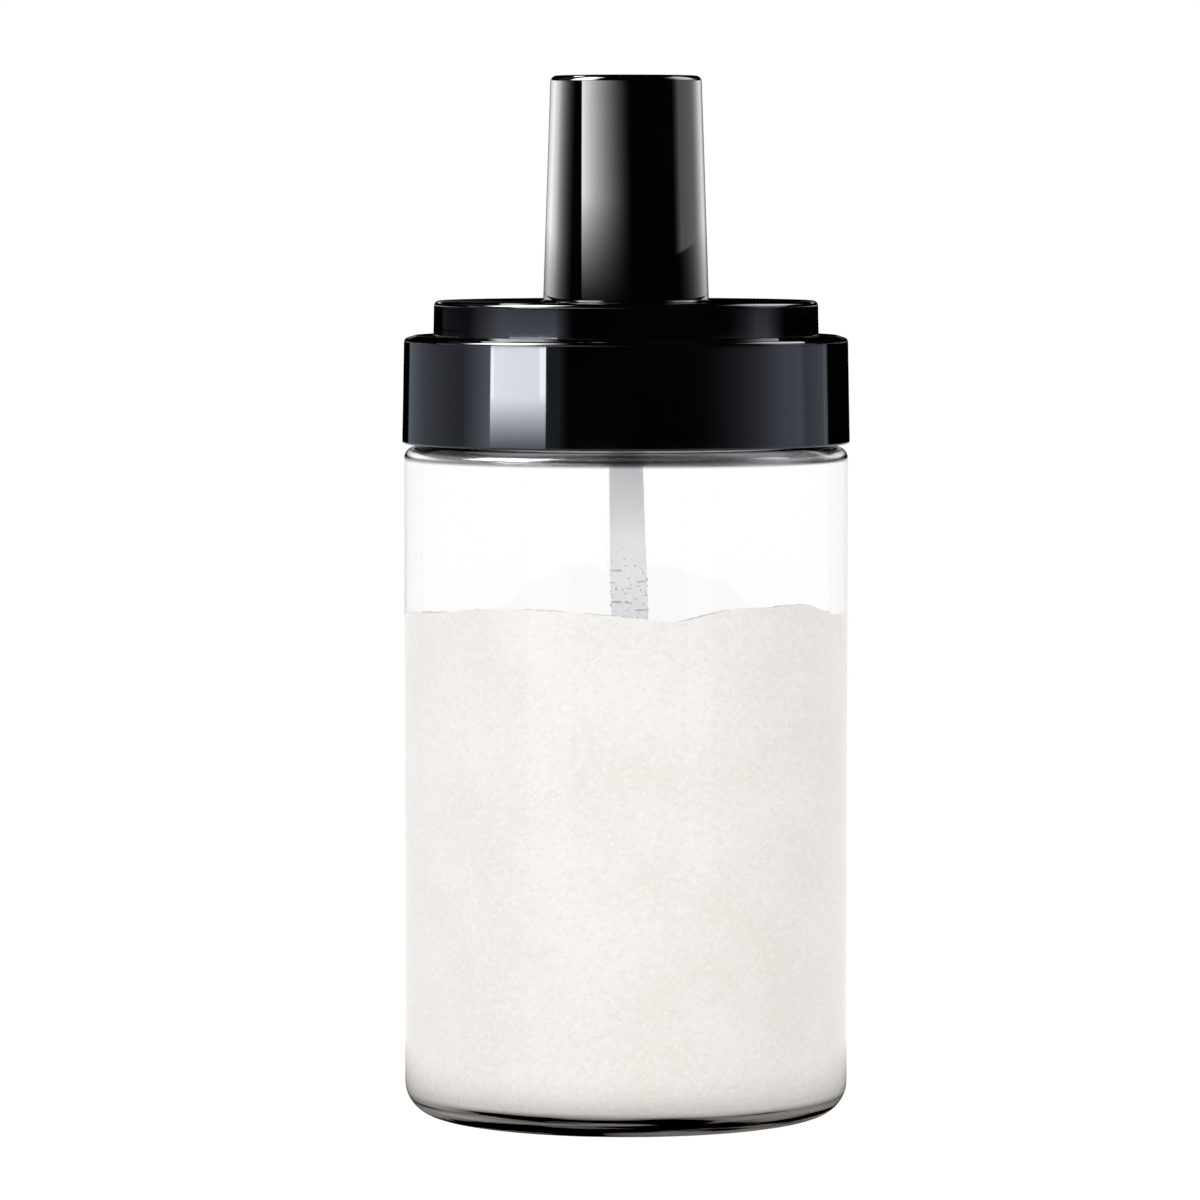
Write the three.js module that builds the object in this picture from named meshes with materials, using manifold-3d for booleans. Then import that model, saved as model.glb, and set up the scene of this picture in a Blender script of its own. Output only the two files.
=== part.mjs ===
// A glass jar for salt or spice with a glossy black lid that carries its own spoon.
// The screw ring turns on the neck, and the capped plug with its handle and spoon lifts out of the ring.
// Millimetres, +Z up, origin at the centre of the foot. The front of the jar faces -Y.
import * as THREE from "three";
import { mergeVertices } from "three/addons/utils/BufferGeometryUtils.js";
import Module from "manifold-3d";

const wasm = await Module();
wasm.setup();

// Counts of steps
const SEGMENTS = 48;
const STEM_SEGMENTS = 24;
const ARC_STEPS = 3;
const SMALL_ARC_STEPS = 2;
const HEEL_STEPS = 4;
const BOWL_SEGMENTS = 24;
const BOWL_RINGS = 12;
const SALT_TOP_RINGS = 6;
const THREAD_STEPS_PER_TURN = 48;

// Clearances
const SEAT_GAP = 0.1;
const PRESS_GAP = 0.1;
const OVERRUN = 2;

// Glass jar
const JAR_DIAMETER = 69.7;
const JAR_STRAIGHT_HEIGHT = 103.4;
const JAR_WALL = 2.6;
const JAR_FLOOR = 4.2;
const HEEL_RADIUS = 5.2;
const INNER_HEEL_RADIUS = 3;
const FOOT_WIDTH = 2.4;
const PUNT_DEPTH = 1.4;
const PUNT_SLOPE = 3;
const SHOULDER_RADIUS = 1.8;
const SHOULDER_INSET = 4.25;
const SHOULDER_THICKNESS = 2.2;
const INNER_SHOULDER_RADIUS = 2;
const THROAT_ROUNDING = 1;
const NECK_HEIGHT = 12.8;
const NECK_WALL = 2.8;
const NECK_FILLET = 0.5;
const LIP_ROUNDING = 0.8;

// Thread shared by the neck and the screw ring
const THREAD_LEAD = 4.2;
const THREAD_TURNS = 1;
const THREAD_HEIGHT = 1.4;
const THREAD_ROOT_WIDTH = 2;
const THREAD_CREST_WIDTH = 0.9;
const THREAD_RISE = 5;
const THREAD_PLAY = 0.4;
const THREAD_BITE = 0.4;
const THREAD_FADE_SHARE = 0.12;

// Gasket on the lip
const GASKET_THICKNESS = 1.6;
const GASKET_OVERLAP = 0.7;

// Screw ring: threaded sleeve with its seat collar, and outer shell
const SLEEVE_WALL = 1;
const SLEEVE_FLANGE = 0.9;
const SLEEVE_FOOT_INSET = 0.6;
const SLEEVE_LEAD_IN = 0.4;
const COLLAR_PLAY = 2.6;
const COLLAR_WALL = 1.2;
const COLLAR_DEPTH = 6.5;
const SHELL_WALL = 1.65;
const SHELL_DRAFT = 0.3;
const SHELL_TOP_WALL = 1.4;
const SHELL_EDGE_RADIUS = 1.2;
const SHELL_FOOT_CHAMFER = 0.3;
const SHELL_FOOT_GAP = 0.5;
const SHELL_RIM_STEP = 0.6;

// Cap disc
const DISC_OVERHANG = 6.25;
const DISC_HEIGHT = 5.6;
const DISC_WALL = 2;
const DISC_TOP_WALL = 1.8;
const DISC_EDGE_RADIUS = 0.9;
const DISC_FOOT_CHAMFER = 0.3;
const SNAP_BEAD = 0.4;
const SNAP_BEAD_RISE = 0.5;
const SPIGOT_HEIGHT = 5;
const SPIGOT_WALL = 1.7;

// Handle
const HANDLE_FOOT_DIAMETER = 26;
const HANDLE_TOP_DIAMETER = 23.7;
const HANDLE_HEIGHT = 35.3;
const HANDLE_WALL = 1.8;
const HANDLE_TOP_WALL = 2;
const HANDLE_EDGE_RADIUS = 1.5;
const HANDLE_FLARE = 0.45;
const HANDLE_FLARE_RADIUS = 0.9;

// Cap liner: snap flange, plug skirt and spoon socket
const LINER_FLANGE = 1.6;
const PLUG_PLAY = 0.8;
const PLUG_WALL = 2.2;
const PLUG_DEPTH = 9.5;
const PLUG_LEAD_IN = 0.5;
const SOCKET_WALL = 0.7;
const SOCKET_DROP = 9.7;
const SOCKET_DEPTH = 16;

// Seal in the groove of the plug skirt
const SEAL_HEIGHT = 2.3;
const SEAL_RISE = 1.6;
const SEAL_PLAY = 0.25;
const SEAL_GROOVE_DEPTH = 1;
const SEAL_SLACK = 0.2;
const SEAL_LIP = 0.45;

// Spoon
const STEM_TOP_DIAMETER = 5.4;
const STEM_DIAMETER = 5.8;
const STEM_TAPER_LENGTH = 22;
const STEM_END_DIAMETER = 1;
const STEM_END_LENGTH = 5;
const BOWL_LENGTH = 28;
const BOWL_WIDTH = 22;
const BOWL_DEPTH = 9;
const BOWL_WALL = 1.2;
const BOWL_TILT = THREE.MathUtils.degToRad(45);
const BOWL_CLEARANCE = 3.3;
const BOWL_SET_FORWARD = 1.2;

// Salt
const SALT_LEVEL = 75;
const SALT_GAP = 0.3;
const SALT_DIMPLE_DEPTH = 1.4;
const SALT_DIMPLE_RADIUS = 7;
const SALT_MOUND_HEIGHT = 1.5;
const SALT_MOUND_RADIUS = 9;
const SALT_MOUND_PLACE_SHARES = [
  [0.74, 0.1],
  [-0.5, 0.62],
];

// Radii worked out from the axis outwards
const jarRadius = JAR_DIAMETER / 2;
const jarInnerRadius = jarRadius - JAR_WALL;
const neckRadius = jarRadius - SHOULDER_INSET;
const mouthRadius = neckRadius - NECK_WALL;
const sleeveRootRadius = neckRadius + THREAD_HEIGHT + THREAD_PLAY;
const sleeveRadius = sleeveRootRadius + SLEEVE_WALL;
const shellInnerRadius = sleeveRadius + PRESS_GAP;
const shellRadius = shellInnerRadius + SHELL_WALL;
const collarRadius = mouthRadius - COLLAR_PLAY;
const collarInnerRadius = collarRadius - COLLAR_WALL;
const plugRadius = collarInnerRadius - PLUG_PLAY;
const plugInnerRadius = plugRadius - PLUG_WALL;
const discRadius = collarInnerRadius + DISC_OVERHANG;
const discInnerRadius = discRadius - DISC_WALL;
const handleFootRadius = HANDLE_FOOT_DIAMETER / 2;
const handleTopRadius = HANDLE_TOP_DIAMETER / 2;
const stemTopRadius = STEM_TOP_DIAMETER / 2;
const stemRadius = STEM_DIAMETER / 2;
const socketRadius = stemTopRadius + PRESS_GAP + SOCKET_WALL;

// Heights worked out from the table upwards
const shoulderTop = JAR_STRAIGHT_HEIGHT + SHOULDER_RADIUS;
const lipTop = shoulderTop + NECK_HEIGHT;
const gasketFoot = lipTop + SEAT_GAP;
const gasketTop = gasketFoot + GASKET_THICKNESS;
const flangeFoot = gasketTop + SEAT_GAP;
const flangeTop = flangeFoot + SLEEVE_FLANGE;
const shellCeiling = flangeTop + SEAT_GAP;
const ringTop = shellCeiling + SHELL_TOP_WALL;
const ringFoot = shoulderTop + SHELL_FOOT_GAP;
const discFoot = ringTop + SEAT_GAP;
const discTop = discFoot + DISC_HEIGHT;
const discCeiling = discTop - DISC_TOP_WALL;
const linerTop = discCeiling - SEAT_GAP;
const linerFoot = linerTop - LINER_FLANGE;
const plugFoot = ringTop - PLUG_DEPTH;
const socketFoot = plugFoot - SOCKET_DROP;
const socketCeiling = socketFoot + SOCKET_DEPTH;
const handleFoot = discTop + SEAT_GAP;
const handleTop = handleFoot + HANDLE_HEIGHT;
const threadStart = shoulderTop + THREAD_RISE;

// Materials
const glass = new THREE.MeshStandardMaterial({
  color: 0xeef4f2,
  roughness: 0.04,
  metalness: 0,
  transparent: true,
  opacity: 0.3,
});
const glossBlack = new THREE.MeshStandardMaterial({ color: 0x0c0c0f, roughness: 0.12, metalness: 0 });
const satinBlack = new THREE.MeshStandardMaterial({ color: 0x17171a, roughness: 0.45, metalness: 0 });
const silicone = new THREE.MeshStandardMaterial({ color: 0xdedfdd, roughness: 0.6, metalness: 0 });
const clearPlastic = new THREE.MeshStandardMaterial({ color: 0xcfd0d5, roughness: 0.3, metalness: 0 });
const whiteSalt = new THREE.MeshStandardMaterial({ color: 0xefebe7, roughness: 0.9, metalness: 0 });

// Outline points are (distance from the axis, height)
const at = (radius, height) => new THREE.Vector2(radius, height);

// Points of an arc in the outline plane, with angles in degrees from the outward direction
function arc(centreRadius, centreHeight, radius, from, to, steps = ARC_STEPS) {
  return Array.from({ length: steps + 1 }, (_, i) => {
    const angle = THREE.MathUtils.degToRad(from + ((to - from) * i) / steps);
    return at(centreRadius + radius * Math.cos(angle), centreHeight + radius * Math.sin(angle));
  });
}

// A solid of revolution about Z from an outline that runs up its outer side
function spun(outline, segments = SEGMENTS) {
  return new THREE.LatheGeometry(outline, segments).rotateX(Math.PI / 2);
}

// The same, for an outline that closes on itself away from the axis
function spunRing(outline) {
  return spun([...outline, outline[0].clone()]);
}

// A closed geometry as a solid that can be joined and cut
function toSolid(geometry) {
  const bare = new THREE.BufferGeometry().setAttribute("position", geometry.getAttribute("position"));
  if (geometry.index) {
    bare.setIndex(geometry.index);
  }
  const merged = mergeVertices(bare);
  return new wasm.Manifold(
    new wasm.Mesh({
      numProp: 3,
      vertProperties: new Float32Array(merged.getAttribute("position").array),
      triVerts: new Uint32Array(merged.index.array),
    }),
  );
}

// A joined or cut solid as a geometry again
function toGeometry(solid) {
  const { vertProperties, triVerts } = solid.getMesh();
  const geometry = new THREE.BufferGeometry();
  geometry.setAttribute("position", new THREE.BufferAttribute(vertProperties, 3));
  geometry.setIndex(new THREE.BufferAttribute(triVerts, 1));
  geometry.computeVertexNormals();
  return geometry;
}

// Triangles that close the gap between two loops of vertices, each count long, counted from the outside
function bridge(lower, upper, count) {
  return Array.from({ length: count }, (_, i) => {
    const next = (i + 1) % count;
    return [lower + i, lower + next, upper + next, lower + i, upper + next, upper + i];
  }).flat();
}

// A right-handed thread ridge from its root radius to its crest radius. Its foot bites a little into the
// wall behind the root, and both of its ends fade into that wall.
function threadRidge(rootRadius, crestRadius, startHeight) {
  const outward = Math.sign(crestRadius - rootRadius);
  const baseRadius = rootRadius - outward * THREAD_BITE;
  const steps = Math.round(THREAD_TURNS * THREAD_STEPS_PER_TURN);
  const positions = [];
  for (let i = 0; i <= steps; i += 1) {
    const share = i / steps;
    const fade = Math.min(1, share / THREAD_FADE_SHARE, (1 - share) / THREAD_FADE_SHARE);
    const topRadius = THREE.MathUtils.lerp(rootRadius - (outward * THREAD_BITE) / 2, crestRadius, fade);
    const angle = 2 * Math.PI * THREAD_TURNS * share;
    const height = startHeight + THREAD_LEAD * THREAD_TURNS * share;
    const corners = [
      [baseRadius, -THREAD_ROOT_WIDTH / 2],
      [topRadius, -THREAD_CREST_WIDTH / 2],
      [topRadius, THREAD_CREST_WIDTH / 2],
      [baseRadius, THREAD_ROOT_WIDTH / 2],
    ];
    for (const [radius, rise] of corners) {
      positions.push(radius * Math.cos(angle), radius * Math.sin(angle), height + rise);
    }
  }
  const cornerCount = 4;
  const indices = [];
  for (let i = 0; i < steps; i += 1) {
    indices.push(...bridge((i + 1) * cornerCount, i * cornerCount, cornerCount));
  }
  const last = steps * cornerCount;
  indices.push(0, 1, 2, 0, 2, 3);
  indices.push(last, last + 2, last + 1, last, last + 3, last + 2);
  if (outward < 0) {
    indices.reverse();
  }
  const geometry = new THREE.BufferGeometry();
  geometry.setAttribute("position", new THREE.Float32BufferAttribute(positions, 3));
  geometry.setIndex(indices);
  return geometry;
}

// Glass body with its hollow foot, rounded heel, shoulder and threaded neck
function glassJar() {
  const footRadius = jarRadius - HEEL_RADIUS;
  const footInnerRadius = footRadius - FOOT_WIDTH;
  const headroom = shoulderTop - SHOULDER_THICKNESS;
  const body = spun([
    at(0, PUNT_DEPTH),
    at(footInnerRadius - PUNT_SLOPE, PUNT_DEPTH),
    at(footInnerRadius, 0),
    ...arc(footRadius, HEEL_RADIUS, HEEL_RADIUS, -90, 0, HEEL_STEPS),
    ...arc(jarRadius - SHOULDER_RADIUS, JAR_STRAIGHT_HEIGHT, SHOULDER_RADIUS, 0, 90),
    ...arc(neckRadius + NECK_FILLET, shoulderTop + NECK_FILLET, NECK_FILLET, 270, 180, SMALL_ARC_STEPS),
    ...arc(neckRadius - LIP_ROUNDING, lipTop - LIP_ROUNDING, LIP_ROUNDING, 0, 90, SMALL_ARC_STEPS),
    ...arc(mouthRadius + LIP_ROUNDING, lipTop - LIP_ROUNDING, LIP_ROUNDING, 90, 180, SMALL_ARC_STEPS),
    ...arc(
      mouthRadius + THROAT_ROUNDING,
      headroom + THROAT_ROUNDING,
      THROAT_ROUNDING,
      180,
      270,
      SMALL_ARC_STEPS,
    ),
    ...arc(
      jarInnerRadius - INNER_SHOULDER_RADIUS,
      headroom - INNER_SHOULDER_RADIUS,
      INNER_SHOULDER_RADIUS,
      90,
      0,
    ),
    ...arc(
      jarInnerRadius - INNER_HEEL_RADIUS,
      JAR_FLOOR + INNER_HEEL_RADIUS,
      INNER_HEEL_RADIUS,
      0,
      -90,
    ),
    at(0, JAR_FLOOR),
  ]);
  const ridge = threadRidge(neckRadius, neckRadius + THREAD_HEIGHT, threadStart);
  return toGeometry(toSolid(body).add(toSolid(ridge)));
}

// Flat silicone ring that lies on the glass lip
function lipGasket() {
  const innerRadius = mouthRadius + PRESS_GAP;
  const outerRadius = neckRadius + GASKET_OVERLAP;
  return spunRing([
    at(outerRadius, gasketFoot),
    at(outerRadius, gasketTop),
    at(innerRadius, gasketTop),
    at(innerRadius, gasketFoot),
  ]);
}

// Threaded inner sleeve: a wall round the neck, a flange over the gasket and a collar inside the mouth
function ringSleeve() {
  const foot = ringFoot + SLEEVE_FOOT_INSET;
  const collarFoot = flangeFoot - COLLAR_DEPTH;
  const body = spunRing([
    at(sleeveRadius, foot),
    at(sleeveRadius, flangeTop),
    at(collarInnerRadius, flangeTop),
    at(collarInnerRadius, collarFoot),
    at(collarRadius, collarFoot),
    at(collarRadius, flangeFoot),
    at(sleeveRootRadius, flangeFoot),
    at(sleeveRootRadius, foot + SLEEVE_LEAD_IN),
    at(sleeveRootRadius + SLEEVE_LEAD_IN, foot),
  ]);
  const ridge = threadRidge(sleeveRootRadius, neckRadius + THREAD_PLAY, threadStart - THREAD_LEAD / 2);
  return toGeometry(toSolid(body).add(toSolid(ridge)));
}

// Glossy outer shell of the screw ring
function ringShell() {
  const topRadius = shellRadius - SHELL_DRAFT;
  const openingRadius = collarInnerRadius + SHELL_RIM_STEP;
  return spunRing([
    at(shellRadius - SHELL_FOOT_CHAMFER, ringFoot),
    at(shellRadius, ringFoot + SHELL_FOOT_CHAMFER),
    ...arc(topRadius - SHELL_EDGE_RADIUS, ringTop - SHELL_EDGE_RADIUS, SHELL_EDGE_RADIUS, 0, 90),
    at(openingRadius, ringTop),
    at(openingRadius, shellCeiling),
    at(shellInnerRadius, shellCeiling),
    at(shellInnerRadius, ringFoot),
  ]);
}

// Inner radius of the handle at a height above its foot
function handleBore(rise) {
  return THREE.MathUtils.lerp(handleFootRadius, handleTopRadius, rise / HANDLE_HEIGHT) - HANDLE_WALL;
}

// Glossy disc of the cap, hollow below, with a snap bead for the liner and a spigot for the handle
function capDisc() {
  const spigotTop = discTop + SPIGOT_HEIGHT;
  const spigotFootRadius = handleBore(0) - PRESS_GAP;
  const spigotTopRadius = handleBore(SPIGOT_HEIGHT) - PRESS_GAP;
  const beadTop = linerFoot - SEAT_GAP;
  return spun([
    at(0, discCeiling),
    at(discInnerRadius, discCeiling),
    at(discInnerRadius, beadTop),
    at(discInnerRadius - SNAP_BEAD, beadTop - SNAP_BEAD_RISE),
    at(discInnerRadius, beadTop - 2 * SNAP_BEAD_RISE),
    at(discInnerRadius, discFoot),
    at(discRadius - DISC_FOOT_CHAMFER, discFoot),
    at(discRadius, discFoot + DISC_FOOT_CHAMFER),
    ...arc(discRadius - DISC_EDGE_RADIUS, discTop - DISC_EDGE_RADIUS, DISC_EDGE_RADIUS, 0, 90),
    at(spigotFootRadius, discTop),
    at(spigotTopRadius, spigotTop),
    at(spigotTopRadius - SPIGOT_WALL, spigotTop),
    at(spigotFootRadius - SPIGOT_WALL, discTop),
    at(0, discTop),
  ]);
}

// Hollow tapered handle, closed and rounded at the top, with a small flare where it meets the disc
function handleShell() {
  const ceiling = handleTop - HANDLE_TOP_WALL;
  const flareTurn = THREE.MathUtils.radToDeg(Math.acos(1 - HANDLE_FLARE / HANDLE_FLARE_RADIUS));
  return spun([
    at(0, ceiling),
    at(handleBore(ceiling - handleFoot), ceiling),
    at(handleBore(0), handleFoot),
    at(handleFootRadius + HANDLE_FLARE, handleFoot),
    ...arc(
      handleFootRadius + HANDLE_FLARE_RADIUS,
      handleFoot + HANDLE_FLARE_RADIUS,
      HANDLE_FLARE_RADIUS,
      180 + flareTurn,
      180,
      SMALL_ARC_STEPS,
    ),
    ...arc(
      handleTopRadius - HANDLE_EDGE_RADIUS,
      handleTop - HANDLE_EDGE_RADIUS,
      HANDLE_EDGE_RADIUS,
      0,
      90,
    ),
    at(0, handleTop),
  ]);
}

// Liner of the cap: flange under the disc, plug skirt with a seal groove, and the socket of the spoon
function capLiner() {
  const boreRadius = stemTopRadius + PRESS_GAP;
  const grooveRadius = plugRadius - SEAL_GROOVE_DEPTH;
  const grooveFoot = plugFoot + SEAL_RISE;
  const grooveTop = grooveFoot + SEAL_HEIGHT + 2 * SEAL_SLACK;
  const flangeRadius = discInnerRadius - PRESS_GAP;
  return spun([
    at(0, socketCeiling),
    at(boreRadius, socketCeiling),
    at(boreRadius, socketFoot),
    at(socketRadius, socketFoot),
    at(socketRadius, linerFoot),
    at(plugInnerRadius, linerFoot),
    at(plugInnerRadius, plugFoot),
    at(plugRadius - PLUG_LEAD_IN, plugFoot),
    at(plugRadius, plugFoot + PLUG_LEAD_IN),
    at(plugRadius, grooveFoot),
    at(grooveRadius, grooveFoot),
    at(grooveRadius, grooveTop),
    at(plugRadius, grooveTop),
    at(plugRadius, linerFoot),
    at(flangeRadius, linerFoot),
    at(flangeRadius, linerTop),
    at(0, linerTop),
  ]);
}

// Silicone ring with two lips that seal against the seat collar
function plugSeal() {
  const innerRadius = plugRadius - SEAL_GROOVE_DEPTH + SEAL_SLACK;
  const lipRadius = collarInnerRadius - SEAL_PLAY;
  const waistRadius = lipRadius - SEAL_LIP;
  const foot = plugFoot + SEAL_RISE + SEAL_SLACK;
  const top = foot + SEAL_HEIGHT;
  return spunRing([
    at(waistRadius, foot),
    at(lipRadius, foot + SEAL_HEIGHT / 4),
    at(waistRadius, foot + SEAL_HEIGHT / 2),
    at(lipRadius, top - SEAL_HEIGHT / 4),
    at(waistRadius, top),
    at(innerRadius, top),
    at(innerRadius, foot),
  ]);
}

// How far the tilted bowl reaches below the centre of its rim plane, and where that centre lies
const bowlDrop = Math.hypot((BOWL_LENGTH / 2) * Math.sin(BOWL_TILT), BOWL_DEPTH * Math.cos(BOWL_TILT));
const bowlCentre = new THREE.Vector3(
  0,
  -BOWL_SET_FORWARD - (BOWL_LENGTH / 2) * Math.cos(BOWL_TILT),
  JAR_FLOOR + BOWL_CLEARANCE + bowlDrop,
);

// The part of an ellipsoid below the bowl's rim plane, grown all round, tilted and set at the stem's foot.
// A shrunk one is the bowl's hollow, which runs on a little above the rim.
function bowlHalf(grown) {
  const halfWidth = BOWL_WIDTH / 2 + grown;
  const halfLength = BOWL_LENGTH / 2 + grown;
  const depth = BOWL_DEPTH + grown;
  const rim = grown < 0 ? OVERRUN : grown;
  const egg = new THREE.SphereGeometry(1, BOWL_SEGMENTS, BOWL_RINGS).scale(halfLength, depth, halfWidth);
  egg.rotateX(Math.PI / 2).rotateZ(Math.PI / 2);
  const lid = new THREE.BoxGeometry(
    2 * (halfWidth + OVERRUN),
    2 * (halfLength + OVERRUN),
    2 * (depth + OVERRUN),
  );
  lid.translate(0, 0, rim + depth + OVERRUN);
  const place = new THREE.Matrix4().makeRotationX(BOWL_TILT).setPosition(bowlCentre);
  return toSolid(egg.applyMatrix4(place)).subtract(toSolid(lid.applyMatrix4(place)));
}

// The stem, grown all round, from its top end down to the back of the bowl
function stem(grown, top) {
  const rimHeight = bowlCentre.z + (BOWL_LENGTH / 2) * Math.sin(BOWL_TILT);
  const endTop = rimHeight - STEM_END_LENGTH / 2;
  const outline = [
    at(0, endTop - STEM_END_LENGTH - grown),
    at(STEM_END_DIAMETER / 2 + grown, endTop - STEM_END_LENGTH - grown),
    at(stemRadius + grown, endTop),
    at(stemRadius + grown, socketFoot - STEM_TAPER_LENGTH),
    at(stemTopRadius + grown, socketFoot),
    at(stemTopRadius + grown, top),
    at(0, top),
  ];
  return toSolid(spun(outline, STEM_SEGMENTS));
}

// Spoon in one moulding: tapered stem and hollow scoop
function spoon() {
  const outside = stem(0, socketCeiling - SEAT_GAP).add(bowlHalf(0));
  return toGeometry(outside.subtract(bowlHalf(-BOWL_WALL)));
}

// Height of the salt at a place: level, with a dimple round the stem and two low mounds
function saltHeight(x, y) {
  const bump = (height, radius, dx, dy) => height * Math.exp(-(dx * dx + dy * dy) / (radius * radius));
  let height = JAR_FLOOR + SALT_LEVEL - bump(SALT_DIMPLE_DEPTH, SALT_DIMPLE_RADIUS, x, y);
  for (const [xShare, yShare] of SALT_MOUND_PLACE_SHARES) {
    const dx = x - xShare * jarInnerRadius;
    const dy = y - yShare * jarInnerRadius;
    height += bump(SALT_MOUND_HEIGHT, SALT_MOUND_RADIUS, dx, dy);
  }
  return height;
}

// Salt that fills the jar, with a pocket where the spoon stands in it
function saltFill() {
  const radius = jarInnerRadius - SALT_GAP;
  const foot = JAR_FLOOR + SALT_GAP;
  const heel = arc(radius - INNER_HEEL_RADIUS, foot + INNER_HEEL_RADIUS, INNER_HEEL_RADIUS, -90, 0);
  const rings = heel.map((p) => ({ radius: p.x, height: () => p.y }));
  for (let i = SALT_TOP_RINGS; i > 0; i -= 1) {
    rings.push({ radius: (radius * i) / SALT_TOP_RINGS, height: saltHeight });
  }
  const positions = [0, 0, foot];
  for (const ring of rings) {
    for (let i = 0; i < SEGMENTS; i += 1) {
      const angle = (2 * Math.PI * i) / SEGMENTS;
      const x = ring.radius * Math.cos(angle);
      const y = ring.radius * Math.sin(angle);
      positions.push(x, y, ring.height(x, y));
    }
  }
  positions.push(0, 0, saltHeight(0, 0));
  const indices = [];
  const lastRing = 1 + (rings.length - 1) * SEGMENTS;
  const pole = lastRing + SEGMENTS;
  for (let i = 0; i < SEGMENTS; i += 1) {
    const next = (i + 1) % SEGMENTS;
    indices.push(0, 1 + next, 1 + i);
    indices.push(lastRing + i, lastRing + next, pole);
  }
  for (let i = 0; i < rings.length - 1; i += 1) {
    indices.push(...bridge(1 + i * SEGMENTS, 1 + (i + 1) * SEGMENTS, SEGMENTS));
  }
  const skin = new THREE.BufferGeometry();
  skin.setAttribute("position", new THREE.Float32BufferAttribute(positions, 3));
  skin.setIndex(indices);
  const pocket = stem(SALT_GAP, socketFoot).add(bowlHalf(SALT_GAP));
  return toGeometry(toSolid(skin).subtract(pocket));
}

function named(name, geometry, material) {
  const mesh = new THREE.Mesh(geometry, material);
  mesh.name = name;
  return mesh;
}

const jar = new THREE.Group();
jar.add(named("glass_jar", glassJar(), glass), named("salt_fill", saltFill(), whiteSalt));

const screwRing = new THREE.Group();
screwRing.add(
  named("lip_gasket", lipGasket(), silicone),
  named("ring_sleeve", ringSleeve(), satinBlack),
  named("ring_shell", ringShell(), glossBlack),
);

const cap = new THREE.Group();
cap.add(
  named("plug_seal", plugSeal(), silicone),
  named("cap_liner", capLiner(), satinBlack),
  named("cap_disc", capDisc(), glossBlack),
  named("handle_shell", handleShell(), glossBlack),
  named("spoon", spoon(), clearPlastic),
);

const spiceJar = new THREE.Group();
spiceJar.add(jar, screwRing, cap);

export default spiceJar;
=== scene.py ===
"""A spice jar of clear glass, filled with salt, whose glossy black lid carries its own spoon.

Lengths are in metres, +Z is up, the jar stands on z = 0 and its front faces -Y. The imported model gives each
piece's place and outer size, and the classes below hold the sizes that the looks add to them.
"""

import logging
import math
from collections.abc import Callable, Iterator, Sequence
from contextlib import contextmanager
from dataclasses import dataclass
from enum import Enum
from itertools import chain, pairwise

import bmesh
import bpy
from bpy.types import Material, Modifier, Node, NodeSocket, NodeTree, Object
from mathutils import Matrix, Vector


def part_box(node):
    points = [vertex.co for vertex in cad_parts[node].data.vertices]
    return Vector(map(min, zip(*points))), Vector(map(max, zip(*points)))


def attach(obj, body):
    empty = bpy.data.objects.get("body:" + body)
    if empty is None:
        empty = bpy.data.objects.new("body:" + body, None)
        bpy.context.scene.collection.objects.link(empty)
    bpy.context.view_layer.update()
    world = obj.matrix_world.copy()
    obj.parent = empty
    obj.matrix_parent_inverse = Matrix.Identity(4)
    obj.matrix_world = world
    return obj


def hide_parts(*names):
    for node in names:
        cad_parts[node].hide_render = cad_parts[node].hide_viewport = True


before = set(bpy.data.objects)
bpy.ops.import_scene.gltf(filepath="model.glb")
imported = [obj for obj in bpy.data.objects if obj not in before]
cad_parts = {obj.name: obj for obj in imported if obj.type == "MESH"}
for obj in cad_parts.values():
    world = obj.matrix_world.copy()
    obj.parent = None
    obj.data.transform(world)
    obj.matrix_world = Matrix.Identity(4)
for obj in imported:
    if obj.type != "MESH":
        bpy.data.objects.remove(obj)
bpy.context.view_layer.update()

MM = 0.001
WELD_DISTANCE = 0.0005 * MM
PICK_DISTANCE = 0.01 * MM
TURN_STEPS = 192
SMOOTH_ANGLE = math.radians(32)
LARGE_FACE_WEIGHT = 100

log = logging.getLogger("spice_jar")

Colour = tuple[float, float, float]
Place = tuple[float, float, float]
Range = tuple[float, float]
Quad = tuple[float, float, float, float]

BLACK: Colour = (0.0, 0.0, 0.0)
WHITE: Colour = (1.0, 1.0, 1.0)


class Body(Enum):
    """The parts of the jar that move as one."""

    JAR = "jar"
    GASKET = "gasket"
    RING = "ring"
    SEAL = "seal"
    CAP = "cap"


class Join(Enum):
    """How a second body changes a first one."""

    ADD = "UNION"
    CUT = "DIFFERENCE"


class Span:
    """The radius and the two heights of a round CAD node that stands on the jar's axis."""

    def __init__(self, node: str) -> None:
        """Measures a node.

        Args:
            node: the CAD node's name.
        """
        low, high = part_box(node)
        self.radius: float = high.x
        self.foot: float = low.z
        self.top: float = high.z


# Modelling by hand


def deselect_everything() -> None:
    """Leaves no object selected, so that an operator acts on its own piece alone."""
    bpy.ops.object.select_all(action="DESELECT")


def take(piece: Object) -> None:
    """Makes a piece the only one that is selected, and the active one.

    Args:
        piece: the piece that the next operator works on.
    """
    deselect_everything()
    piece.select_set(True)
    bpy.context.view_layer.objects.active = piece


def named(name: str) -> Object:
    """Names the piece that an operator has just added.

    Args:
        name: the name of the piece and of its mesh.

    Returns:
        The piece.
    """
    piece = bpy.context.active_object
    piece.name = name
    piece.data.name = name
    return piece


def settle(piece: Object) -> None:
    """Applies a piece's place, turn and scale, so that it ends at the origin."""
    take(piece)
    bpy.ops.object.transform_apply(location=True, rotation=True, scale=True)


@contextmanager
def editing(piece: Object) -> Iterator[None]:
    """Opens a piece in edit mode with all of it selected, and closes it at the end.

    Args:
        piece: the mesh object to work on.
    """
    take(piece)
    bpy.ops.object.mode_set(mode="EDIT")
    bpy.ops.mesh.select_all(action="SELECT")
    yield
    bpy.ops.object.mode_set(mode="OBJECT")


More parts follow.
